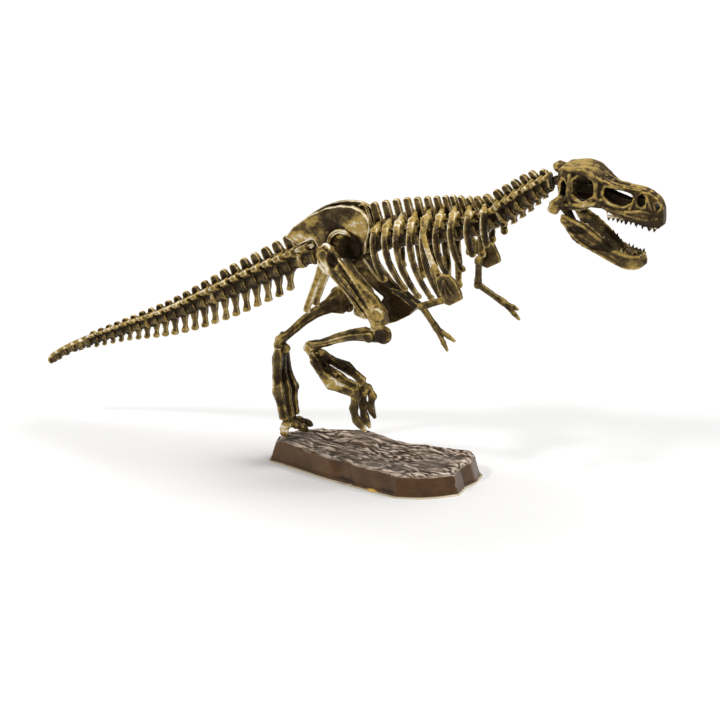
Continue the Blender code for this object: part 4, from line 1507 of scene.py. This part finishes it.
@dataclass
class Skull:
    """The skull: rims round its openings, rough ridges over brow and snout, and the upper teeth."""

    stock: Stock
    orbit: Window = Window(104.6, 151.9, 5.4, 6.2, 0.5)
    temporal: Window = Window(95.2, 150.0, 1.9, 4.6, 0.4)
    pit: Window = Window(130.9, 149.0, 2.2, 2.9, 0.45)
    nostril: Window = Window(138.2, 146.6, 1.1, 1.9, 0.35)
    antorbital: tuple[tuple[float, float], ...] = (
        (112.9, 149.0),
        (113.6, 154.2),
        (119.0, 152.9),
        (127.0, 152.2),
        (128.1, 147.6),
        (122.8, 144.5),
        (117.2, 145.3),
    )
    brow: tuple[tuple[float, float, float], ...] = (
        (94.0, 5.4, 158.6),
        (98.6, 6.6, 159.2),
        (103.4, 7.0, 159.6),
        (108.6, 6.4, 158.2),
        (113.4, 5.0, 155.2),
    )
    snout: tuple[tuple[float, float, float], ...] = (
        (111.0, 2.6, 156.9),
        (117.0, 2.0, 153.7),
        (124.0, 1.8, 153.1),
        (130.0, 1.6, 152.8),
        (136.0, 1.3, 150.9),
    )
    bars: tuple[tuple[tuple[tuple[float, float], ...], tuple[float, ...]], ...] = (
        (
            ((95.0, 143.2), (100.0, 143.8), (105.0, 144.3), (110.0, 145.4), (113.4, 147.8)),
            (0.8, 1.1, 1.2, 1.0, 0.7),
        ),
        (((98.4, 157.4), (98.0, 152.0), (98.2, 147.6), (99.4, 144.0)), (0.9, 0.8, 0.8, 1.0)),
        (((110.6, 156.0), (110.4, 151.6), (110.8, 147.6), (112.4, 145.0)), (1.1, 0.8, 0.8, 0.9)),
        (
            ((113.4, 144.4), (120.0, 142.6), (127.0, 141.0), (134.0, 140.4), (138.4, 141.4)),
            (0.7, 0.6, 0.55, 0.6, 0.5),
        ),
        (
            ((117.0, 144.0), (122.0, 142.6), (128.0, 143.6), (133.0, 144.4), (136.4, 143.6)),
            (0.5, 0.6, 0.6, 0.55, 0.4),
        ),
        (((128.2, 152.0), (127.8, 148.0), (125.8, 144.6)), (0.6, 0.6, 0.6)),
        (((133.0, 151.4), (134.4, 148.0), (136.0, 144.8)), (0.6, 0.6, 0.5)),
    )
    half_width: float = 4.5
    tooth_row: tuple[float, float] = (115.4, 137.0)
    teeth: int = 11
    tooth: float = 3.0

    def parts(self) -> list[Piece]:
        """Rims, ridges and bumps.

        Returns:
            The parts, in metres.
        """
        probe = Probe("skull")
        made = []
        for side in BOTH_SIDES:
            for window in (self.orbit, self.temporal, self.pit, self.nostril):
                ring = window.ring(probe, side)
                radii = [window.rim * (1.0 + 0.35 * math.sin(2.3 * step)) for step in range(len(ring))]
                made.append(bar(ring, radii, closed=True))
            ring = [probe.flank(x, z, side, self.half_width) for x, z in self.antorbital]
            made.append(bar(ring, [0.5] * len(ring), closed=True))
            for run, radii in self.bars:
                made.append(bar([probe.flank(x, z, side, self.half_width) for x, z in run], radii))
            made.append(bar([sided(place, side) for place in self.brow], (0.7, 1.1, 1.3, 1.1, 0.7)))
            made.append(bar([sided(place, side) for place in self.snout], (0.6, 0.8, 0.85, 0.8, 0.5)))
            for *at, size in ((101.0, 5.0, 159.5, 1.5), (106.6, 5.2, 158.9, 1.2), (111.0, 4.4, 156.7, 1.1)):
                place = sided(at, side)
                made.append(self.stock.knob(place, (size * 1.3, size * 0.8, size * 0.7)))
            hinge = ((95.0, 6.4, 142.4), (97.4, 6.2, 138.6), (99.6, 5.8, 135.4))
            made.append(bar([sided(place, side) for place in hinge], (2.0, 1.9, 1.5)))
            cheek = Vector((91.0, side * 8.2, 140.6))
            made.append(self.stock.knob(cheek, (2.6, 1.7, 2.7), AHEAD, LATERAL * side))
        for step in range(9):
            x = 112.0 + 3.1 * step
            over = probe.top(x, 0.0, 152.0)
            wide = 0.9 + 0.25 * math.sin(2.1 * step)
            made.append(self.stock.knob(over - UP * 0.45, (1.3, wide, 0.7)))
        for inside in (
            ((98.0, 0.0, 149.4, 5.0), (104.0, 0.0, 148.8, 5.6), (109.0, 0.0, 149.4, 5.0)),
            ((101.0, 0.0, 153.0, 3.4), (106.0, 0.0, 153.4, 3.4)),
            ((99.0, 0.0, 145.8, 3.0), (105.0, 0.0, 145.2, 3.4), (110.0, 0.0, 146.0, 2.8)),
            (
                (109.0, 0.0, 149.8, 3.0),
                (116.0, 0.0, 147.4, 3.2),
                (122.0, 0.0, 146.0, 2.8),
                (128.0, 0.0, 145.4, 2.4),
            ),
            ((126.0, 0.0, 147.6, 2.4), (131.0, 0.0, 147.6, 2.6), (135.0, 0.0, 146.6, 2.4)),
        ):
            made.append(bar([Vector(place[:3]) for place in inside], [place[3] for place in inside]))
        crest = [Vector((92.6, y, 158.4 - 0.06 * y * y)) for y in (-4.6, -2.4, 0.0, 2.4, 4.6)]
        made.append(bar(crest, (0.8, 0.9, 1.0, 0.9, 0.8)))
        return made

    def marks_on(self) -> list[Mark]:
        """A pale roof, snout and cheek, partly painted highlight, over a dark inside and dark openings
        painted as shade.

        Returns:
            The marks.
        """
        # painted shade inside the skull, at its back and under the snout; the paler roof and snout are
        # partly painted highlight
        middle = [
            Mark((110.0, 0.0, 149.0), (26.0, 5.2, 8.0), wash_and_painted_light=-0.8),
            Mark((101.0, 0.0, 161.0), (12.0, 10.0, 4.0), wash_and_painted_light=0.26),
            Mark((124.0, 0.0, 155.0), (14.0, 6.0, 3.4), wash_and_painted_light=0.26),
            Mark((88.0, 0.0, 151.0), (3.6, 3.6, 3.6), wash_and_painted_light=-0.7),
            Mark((124.0, 0.0, 136.4), (22.0, 10.0, 4.2), wash_and_painted_light=-0.8),
        ]
        # the orbit, the opening in front of it and the pit are darkened as painted shade
        flank = (
            Mark((91.0, 8.2, 140.8), (4.0, 4.0, 5.0), wash_and_painted_light=0.3),
            Mark((98.4, 6.4, 138.0), (4.4, 4.0, 4.4), wash_and_painted_light=-0.8),
            Mark((105.0, 8.4, 145.0), (8.0, 3.0, 2.4), wash_and_painted_light=0.35),
            Mark((128.0, 5.0, 143.4), (12.0, 3.0, 3.6), wash_and_painted_light=0.16),
            Mark((104.4, 5.5, 151.4), (5.8, 5.0, 7.0), wash_and_painted_light=-0.9, dent=0.8),
            Mark((119.6, 4.0, 149.4), (7.6, 4.0, 4.4), wash_and_painted_light=-0.6, dent=0.3),
            Mark((130.8, 4.0, 148.6), (2.2, 3.0, 3.2), wash_and_painted_light=-0.6, dent=0.5),
        )
        return middle + [spot.on(side) for side in BOTH_SIDES for spot in flank]

    def teeth_parts(self) -> list[Piece]:
        """The upper teeth, longest in the middle of the row.

        Returns:
            The teeth, in metres.
        """
        probe = Probe("skull")
        made = []
        first, last = self.tooth_row
        for step in range(self.teeth):
            share = step / (self.teeth - 1)
            x = first + (last - first) * share
            side_point = probe.flank(x, 140.2, 1.0, 4.0)
            long = self.tooth * (0.72 + 0.32 * math.sin(math.pi * (0.15 + 0.75 * share)) - 0.1 * (step % 2))
            low = probe.hit(Vector((x, side_point.y - 1.4, 100.0)), UP)
            height = (low.z if low is not None and low.z < 143.0 else 139.2) + 0.5
            for side in BOTH_SIDES:
                place = Vector((x, side * (side_point.y - 1.0), max(height, 137.2)))
                made.append(self.stock.put(self.stock.tooth, place, (2.1, 1.7, long)))
        return made


@dataclass
class LowerJaw:
    """The lower jaw: a ridge along each edge, the groove between them, and the lower teeth."""

    stock: Stock
    line: tuple[tuple[float, float, float, float], ...] = (
        (94.8, 7.4, 137.0, 1.6),
        (98.6, 7.0, 134.2, 3.6),
        (103.0, 6.4, 131.0, 5.4),
        (108.0, 5.8, 128.0, 5.0),
        (113.2, 5.2, 125.0, 4.1),
        (118.2, 4.6, 121.8, 3.2),
        (122.6, 4.0, 120.2, 3.5),
        (127.0, 3.2, 119.6, 3.6),
        (130.0, 1.9, 120.2, 3.0),
    )
    wall: float = 1.2
    tooth_row: tuple[float, float] = (113.6, 129.6)
    teeth: int = 9
    tooth: float = 2.5

    def parts(self) -> list[Piece]:
        """The ridges and the hinge knobs.

        Returns:
            The parts, in metres.
        """
        made = []
        stands = self.wall * 0.72
        for side in BOTH_SIDES:
            for share, radius in ((0.76, 0.75), (-0.8, 0.6), (-0.1, 0.4)):
                run = [Vector((x, side * (y + stands), z + high * share)) for x, y, z, high in self.line]
                made.append(bar(run, [radius] * len(run)))
            made.append(self.stock.knob(Vector((96.2, side * 7.6, 136.4)), (2.0, 1.4, 1.2)))
        return made

    def teeth_parts(self) -> list[Piece]:
        """The lower teeth.

        Returns:
            The teeth, in metres.
        """
        made = []
        first, last = self.tooth_row
        for step in range(self.teeth):
            x = first + (last - first) * step / (self.teeth - 1)
            reach, middle, high = (slope(self.line, x, column) for column in (1, 2, 3))
            long = self.tooth * (0.85 + 0.2 * math.sin(1.7 * step))
            for side in BOTH_SIDES:
                place = Vector((x, side * reach, middle + high - 0.6))
                made.append(self.stock.put(self.stock.tooth, place, (1.4, 1.3, long), -AHEAD, -UP))
        return made

    def marks_on(self) -> list[Mark]:
        """Painted shade in the grooves and inside the jaw, and a golden chin.

        Returns:
            The marks.
        """
        # the grooves and the inside of the jaw are darkened as painted shade; the chin's gold is paint
        flank = (
            Mark((101.6, 7.6, 132.2), (7.0, 3.0, 2.4), wash_and_painted_light=-0.3, dent=0.5),
            Mark((113.6, 6.4, 125.2), (7.0, 3.0, 1.8), wash_and_painted_light=-0.3, dent=0.4),
            Mark((126.0, 4.0, 118.6), (6.0, 5.0, 3.0), wash_and_painted_light=0.2),
            Mark((119.0, 4.0, 127.6), (12.0, 6.0, 3.4), wash_and_painted_light=-0.7),
            Mark((127.4, 3.0, 125.2), (6.0, 6.0, 2.8), wash_and_painted_light=-0.8),
        )
        return [spot.on(side) for side in BOTH_SIDES for spot in flank]


# ---------------------------------------------------------------- rock


@dataclass
class Rock:
    """The rock: smooth buttressed sides, and a top of long broken ledges."""

    paint: bpy.types.Material
    voxel: float = 0.42
    soften: int = 4
    ledge: float = 1.9
    side_wave: float = 0.8
    lip: float = 0.5
    lip_stands: float = 0.3
    flat_below: float = 0.3

    def build(self) -> Piece:
        """Carves the rock and sets it in the frame.

        Returns:
            The finished rock.
        """
        casting = Casting("rock_base", "rock", self.paint, Moulding())
        made = casting._start()
        fuse(made, self.voxel, self.soften)
        self._carve(made)
        modify(made, "SMOOTH", factor=0.5, iterations=1)
        self._settle(made)
        keep_in_box(made)
        measure_relief(made)
        return dress(made, self.paint, "rock_base")

    def _strata(self, x: float, y: float) -> float:
        """How deep the top is cut at a place, from 0 on the ridges to about 1.

        Args:
            x: The place along the rock, in millimetres.
            y: The place across it.

        Returns:
            The share of the full depth.
        """
        across = y + 0.12 * x + 3.4 * noise.noise(Vector((0.07 * x, 0.09 * y, 3.0)))
        broad = noise.noise(Vector((0.04 * x, 0.11 * across, 1.0)))
        lump = noise.noise(Vector((0.13 * x, 0.26 * across, 5.0)))
        fine = noise.noise(Vector((0.36 * x, 0.70 * across, 9.0)))
        crease = abs(noise.noise(Vector((0.075 * x, 0.20 * across, 7.0))))
        rough = min(max(0.75 + 1.3 * noise.noise(Vector((0.05 * x, 0.07 * y, 13.0))), 0.2), 1.4)
        low = 0.36 * (0.5 - broad) + rough * (0.40 * (0.5 - lump) + 0.26 * (0.5 - fine))
        return low + 0.4 * rough * (1.0 - min(crease / 0.15, 1.0))

    def _carve(self, made: Piece) -> None:
        """Cuts ledges into the top, and folds and a low lip into the sides, always inwards.

        Args:
            made: The rock.
        """
        places, normals = vertex_places(made), vertex_normals(made)
        top = np.clip((normals[:, 2] - 0.35) / 0.4, 0.0, 1.0)
        cut = np.array([self._strata(x, y) if level else 0.0 for (x, y, _), level in zip(places / MM, top)])
        places[:, 2] -= top * np.clip(cut, 0.0, 1.1) * self.ledge * MM
        wall = np.clip(1.0 - np.abs(normals[:, 2]) * 1.6, 0.0, 1.0)
        rise = np.clip((places[:, 2] / MM - self.lip) / 0.5, 0.0, 1.0)
        folds = np.array(
            [
                noise.noise(Vector((0.10 * x, 0.12 * y, 0.03 * z))) if upright else 0.0
                for (x, y, z), upright in zip(places / MM, wall)
            ]
        )
        depth = wall * rise * (self.lip_stands + self.side_wave * np.clip(0.1 + 1.8 * folds, 0.0, 1.0))
        places[:, :2] -= normals[:, :2] * (depth * MM)[:, None]
        set_places(made, places)

    def _settle(self, made: Piece) -> None:
        """Lays the underside flat on the floor."""
        places = vertex_places(made)
        places[places[:, 2] < self.flat_below * MM, 2] = 0.0
        set_places(made, places)


# ---------------------------------------------------------------- studio


def hang(data: bpy.types.ID, place: Vector, turn: Quaternion) -> Piece:
    """Puts a lamp or a camera in the scene.

    Args:
        data: The lamp or the camera, whose name it takes.
        place: Where it goes, in metres.
        turn: How it is turned.

    Returns:
        The lamp or the camera in its place.
    """
    made = bpy.data.objects.new(data.name, data)
    bpy.context.scene.collection.objects.link(made)
    made.location = place
    made.rotation_euler = turn.to_euler()
    return made


@dataclass
class Softbox:
    """One square lamp of the studio."""

    name: str
    place: Point
    aim: Point
    size: float
    power: float
    colour: tuple[float, float, float] = (1.0, 1.0, 1.0)

    def build(self) -> None:
        """Hangs the lamp."""
        lamp = bpy.data.lights.new(self.name, "AREA")
        lamp.shape = "SQUARE"
        lamp.size = self.size
        lamp.energy = self.power
        lamp.color = self.colour
        place = Vector(self.place)
        hang(lamp, place, (Vector(self.aim) - place).to_track_quat("-Z", "Y"))


@dataclass
class Studio:
    """A white sweep, soft lamps and a long lens far off."""

    azimuth: float = 25.0
    elevation: float = 20.0
    distance: float = 8.0
    frame_width: float = 0.3168
    aim: Point = (-0.005826, 0.0, 0.05295)
    floor_reach: float = 6.0
    world: float = 0.30
    overhead: float = 2.95
    overhead_wide: float = 42.0
    overhead_from: Point = (0.40, 0.16, 1.0)

    def _camera(self) -> None:
        """Sets the camera on the line it looks along."""
        turn, lift = math.radians(self.azimuth), math.radians(self.elevation)
        line = Vector((math.sin(turn) * math.cos(lift), -math.cos(turn) * math.cos(lift), math.sin(lift)))
        lens = bpy.data.cameras.new("camera")
        lens.sensor_width = 36.0
        lens.lens = lens.sensor_width * self.distance / self.frame_width
        lens.clip_end = 4.0 * self.distance
        place = Vector(self.aim) + line * self.distance
        bpy.context.scene.camera = hang(lens, place, (line * -1.0).to_track_quat("-Z", "Y"))

    def _floor(self) -> None:
        """Lays the pale floor."""
        release()
        bpy.ops.mesh.primitive_plane_add(size=2 * self.floor_reach)
        floor = bpy.context.object
        floor.name = "floor"
        paper = bpy.data.materials.new("floor_paper")
        paper.use_nodes = True
        shader = paper.node_tree.nodes["Principled BSDF"]
        shader.inputs["Base Color"].default_value = (0.79, 0.787, 0.78, 1.0)
        shader.inputs["Roughness"].default_value = 0.9
        shader.inputs["Specular IOR Level"].default_value = 0.0
        floor.data.materials.append(paper)

    def _world(self) -> None:
        """Fills the shadows with an even white."""
        scene = bpy.context.scene
        scene.world = bpy.data.worlds.new("studio")
        scene.world.use_nodes = True
        sky = scene.world.node_tree.nodes["Background"]
        sky.inputs["Color"].default_value = (1.0, 1.0, 1.0, 1.0)
        sky.inputs["Strength"].default_value = self.world

    def _sky_panel(self) -> None:
        """Hangs a far, broad lamp overhead, a little to the right and behind."""
        lamp = bpy.data.lights.new("overhead", "SUN")
        lamp.energy = self.overhead
        lamp.angle = math.radians(self.overhead_wide)
        hang(lamp, Vector(), Vector(self.overhead_from).to_track_quat("Z", "Y"))

    def build(self) -> None:
        """Builds the floor, the lamps and the camera."""
        self._floor()
        self._world()
        place, aim = (-1.20, -2.10, 2.40), (0.0, 0.0, 0.08)
        Softbox("key", place, aim, size=0.30, power=30.0, colour=(1.0, 0.98, 0.95)).build()
        self._sky_panel()
        self._camera()
        bpy.context.scene.view_settings.view_transform = "Standard"


# ---------------------------------------------------------------- kit


# Leg spots: the pale caps on the femurs' tops, the knee and the ankles are partly painted highlight; the
# dark dent by the femur's head and the dark spots below the knee, over and inside the foot are painted
# shade.
RIGHT_LEG = {
    "hip": (-16.7, -11.6, 105.0),
    "knee": (10.2, -15.6, 77.4),
    "shin_top": (12.8, -15.6, 71.9),
    "ankle": (-26.4, -7.8, 58.9),
    "foot_top": (-24.5, -7.6, 55.6),
    "ball": (-2.5, -8.0, 43.8),
    "spots": {
        "thigh": (
            Mark((-16.8, 13.5, 97.6), (5.4, 6.0, 6.4), wash_and_painted_light=0.7),
            Mark((-12.6, 14.5, 103.4), (3.4, 3.0, 4.8), wash_and_painted_light=-0.7, dent=0.9),
            Mark((-15.7, 13.0, 109.6), (5.0, 5.0, 2.8), wash_and_painted_light=0.4),
            Mark((8.0, 18.0, 82.0), (8.0, 6.0, 8.0), wash_and_painted_light=0.3),
            Mark((-3.6, 15.0, 91.0), (13.0, 4.0, 13.0), wash_and_painted_light=0.1),
        ),
        "shin": (
            Mark((12.6, 17.0, 72.6), (4.4, 6.0, 4.4), wash_and_painted_light=-0.55),
            Mark((-26.6, 10.0, 58.0), (5.0, 5.0, 4.0), wash_and_painted_light=0.4),
            Mark((-8.0, 13.0, 66.0), (12.0, 4.0, 3.0), wash_and_painted_light=0.2),
        ),
        "foot": (
            Mark((-12.6, 12.0, 45.0), (7.4, 5.0, 4.0), wash_and_painted_light=0.66),
            Mark((-19.0, 10.0, 52.4), (7.0, 6.0, 5.0), wash_and_painted_light=-0.35),
            Mark((-10.0, 4.0, 52.0), (12.0, 3.0, 6.0), wash_and_painted_light=-0.35),
        ),
        "toes": (
            Mark((3.0, 10.0, 25.6), (3.6, 6.0, 3.4), wash_and_painted_light=0.5),
            Mark((1.0, 6.0, 41.0), (4.0, 5.0, 3.0), wash_and_painted_light=0.4),
        ),
    },
}
LEFT_LEG = {
    "hip": (-16.7, 11.6, 105.0),
    "knee": (-12.9, 16.4, 68.9),
    "shin_top": (-20.6, 16.0, 72.6),
    "ankle": (-46.4, 3.4, 54.9),
    "foot_top": (-46.2, 3.1, 50.8),
    "ball": (-41.3, 2.3, 19.9),
    "spots": {
        "thigh": (Mark((-16.0, 13.0, 108.0), (5.0, 5.0, 3.0), wash_and_painted_light=0.4),),
        "shin": (Mark((-46.4, 3.4, 55.0), (4.0, 5.0, 3.6), wash_and_painted_light=0.4),),
        "foot": (
            Mark((-47.4, -1.0, 35.0), (3.4, 3.4, 4.6), wash_and_painted_light=0.7),
            Mark((-43.0, 3.0, 42.0), (4.0, 9.0, 10.0), wash_and_painted_light=-0.2),
        ),
        "toes": (Mark((-40.0, -2.0, 16.4), (5.6, 6.0, 3.4), wash_and_painted_light=0.62),),
    },
}
RIGHT_TOES = (
    ((-0.2, -4.4, 42.2), (2.2, -4.0, 38.4), (1.0, -4.0, 33.6), (3.4, -4.0, 28.4)),
    ((-1.0, -8.0, 40.2), (-0.4, -8.2, 35.2), (0.2, -8.2, 30.0), (3.0, -8.2, 25.2)),
    ((-2.4, -11.8, 39.2), (-3.2, -12.2, 34.6), (-1.8, -12.2, 29.4), (2.8, -12.0, 24.8)),
)
LEFT_TOES = (
    ((-41.4, -1.2, 17.1), (-41.4, -2.8, 16.2), (-40.8, -3.8, 14.9), (-39.6, -4.6, 13.0)),
    ((-41.0, 2.4, 17.1), (-38.6, 3.6, 16.4), (-36.2, 4.8, 15.0), (-33.8, 5.8, 13.2)),
    ((-41.2, 5.8, 17.2), (-39.2, 8.4, 16.8), (-37.2, 11.0, 15.2), (-35.0, 13.2, 13.4)),
)
RIGHT_ARM = {
    "shoulder": (45.6, 16.9, 95.2),
    "elbow": (33.0, 19.2, 90.2),
    "wrist": (40.0, 19.2, 81.2),
    "claws": ((45.6, 19.6, 71.4), (48.8, 18.4, 76.0)),
    "plate": (46.6, 20.0, 100.4),
}
LEFT_ARM = {
    "shoulder": (43.9, 16.9, 101.4),
    "elbow": (42.4, 19.2, 89.4),
    "wrist": (54.9, 19.2, 82.8),
    "claws": ((62.4, 18.4, 80.8), (62.4, 19.8, 75.6)),
    "plate": (46.6, 20.0, 104.8),
}

# Where each length of the backbone ends along the animal, the knob at the tail's tip and the
# gap that shows between two lengths.
TAIL_TIP_END, LAST_SPINE, TAIL_END = -157.5, -137.8, -34.0
SACRUM_END, TRUNK_END, NECK_END = -3.4, 62.4, 86.2
TAIL_KNOB = (-155.9, 0.0, 30.9)
GAP = 0.3
# How many vertebrae the tail's bare tip and the rest of the tail have.
TIP_COUNT, TAIL_COUNT = 5, 22


def build_axis(paint: bpy.types.Material, stock: Stock) -> None:
    """Builds the backbone and the rib cage.

    Args:
        paint: The bones' paint.
        stock: The small forms.
    """
    tail = joints(LAST_SPINE, TAIL_END, TAIL_COUNT, 1.018)
    tip = joints(TAIL_TIP_END, LAST_SPINE, TIP_COUNT)
    first, second = TAIL_COUNT // 3, 2 * TAIL_COUNT // 3
    lengths = (
        ("tail_tip", [*tip[:-1], *tail[: first + 1]], TIP_COUNT, 0.3),
        ("tail_middle", [tail[first] + GAP, *tail[first + 1 : second + 1]], 0, 0.33),
        ("tail_base", [tail[second] + GAP, *tail[second + 1 :]], 0, 0.36),
        ("sacrum", joints(TAIL_END + GAP, SACRUM_END, 5), 0, 0.36),
        ("neck", joints(TRUNK_END + GAP, NECK_END, 6, 0.975), 0, 0.34),
    )
    for node, marks, bare, voxel in lengths:
        casting = Casting(node, "bone", paint, Moulding(voxel=voxel, soften=3, hollow=0.34, grain=0.12))
        length = Vertebrae(marks, stock, bare, knuckle=0.52 if node == "neck" else 0.36)
        casting.added = length.parts()
        if node == "tail_tip":
            casting.added.append(stock.knob(Vector(TAIL_KNOB), (2.1, 1.6, 2.0)))
        casting.marks = length.painted_glints_and_shade()
        casting.shape = length.dome
        casting.finish()
    marks = joints(SACRUM_END + GAP, TRUNK_END, 14, 0.975)
    for side in Side:
        casting = Casting(f"trunk_{side.word}", "bone", paint, Moulding(voxel=0.38, soften=3, hollow=0.42))
        cage = RibCage(side, marks, stock)
        casting.added = cage.parts()
        column = Vertebrae(marks, stock, side=side.value)
        casting.marks = [*cage.marks_on(), *column.painted_glints_and_shade()]
        casting.shape = column.dome
        casting.bias = -0.06
        casting.finish(side.value)


def build_limbs(paint: bpy.types.Material, stock: Stock) -> None:
    """Builds the hips, legs and arms.

    Args:
        paint: The bones' paint.
        stock: The small forms.
    """
    for side in Side:
        word = side.word
        broad = Moulding(hollow=0.45, hollow_from=0.86, lumps=0.4, lump_size=4.0)
        hip = Casting(f"pelvis_{word}", "bone", paint, broad)
        bone = HipBone(side)
        hip.added = bone.parts()
        hip.marks = [spot.on(side.value) for spot in bone.spots]
        hip.bias = 0.08
        hip.finish()
        right = side is Side.RIGHT
        leg = Leg(side, stock, **(RIGHT_LEG if right else LEFT_LEG))
        arm = Arm(side, stock, **(RIGHT_ARM if right else LEFT_ARM))
        thick = Moulding(hollow=0.35, hollow_from=0.8, lumps=0.35, lump_size=3.4)
        fine = Moulding(voxel=0.27, soften=3, swell=0.1, hollow=0.15, grain=0.1, lumps=0.2, lump_size=2.2)
        limbs = (
            ("thigh", leg.thigh_parts(), thick),
            ("shin", leg.shin_parts(), thick),
            ("foot", leg.foot_parts(), thick),
            ("toes", leg.toe_parts(RIGHT_TOES if right else LEFT_TOES), fine),
            ("shoulder", arm.shoulder_parts(), fine),
            ("upper_arm", arm.upper_parts(), fine),
            ("hand", arm.hand_parts(), fine),
        )
        for part, added, mould in limbs:
            casting = Casting(f"{part}_{word}", "bone", paint, mould, added)
            casting.marks = leg.marks_on(part)
            casting.bias = -0.14 if part in ("foot", "toes", "shin") else 0.0
            if part == "shoulder":
                casting.marks = [Mark((37.0, side.value * 19.0, 114.0), (9.0, 6.0, 18.0), wash_and_painted_light=0.3)]
            casting.finish()


def build_head(paint: bpy.types.Material, stock: Stock) -> None:
    """Builds the skull and the lower jaw.

    Args:
        paint: The bones' paint.
        stock: The small forms.
    """
    skull = Skull(stock)
    rough = Moulding(voxel=0.34, soften=3, lumps=0.4, lump_size=3.6, grain=0.2)
    casting = Casting("skull", "bone", paint, rough)
    casting.added = skull.parts()
    casting.marks = skull.marks_on()
    casting.bias = -0.08
    casting.loose = skull.teeth_parts()
    casting.finish()
    jaw = LowerJaw(stock)
    casting = Casting("lower_jaw", "bone", paint, Moulding(voxel=0.3, soften=3, lumps=0.3, lump_size=3.6))
    casting.added = jaw.parts()
    casting.marks = jaw.marks_on()
    casting.loose = jaw.teeth_parts()
    casting.finish()


def main() -> None:
    """Builds the whole kit and its studio."""
    logging.basicConfig(level=logging.INFO, format="%(message)s")
    bones = BonePaint().material("bone_paint")
    stock = Stock()
    build_axis(bones, stock)
    build_limbs(bones, stock)
    build_head(bones, stock)
    Rock(RockPaint().material("rock_paint")).build()
    stock.clear()
    Studio().build()


if __name__ == "__main__":
    main()
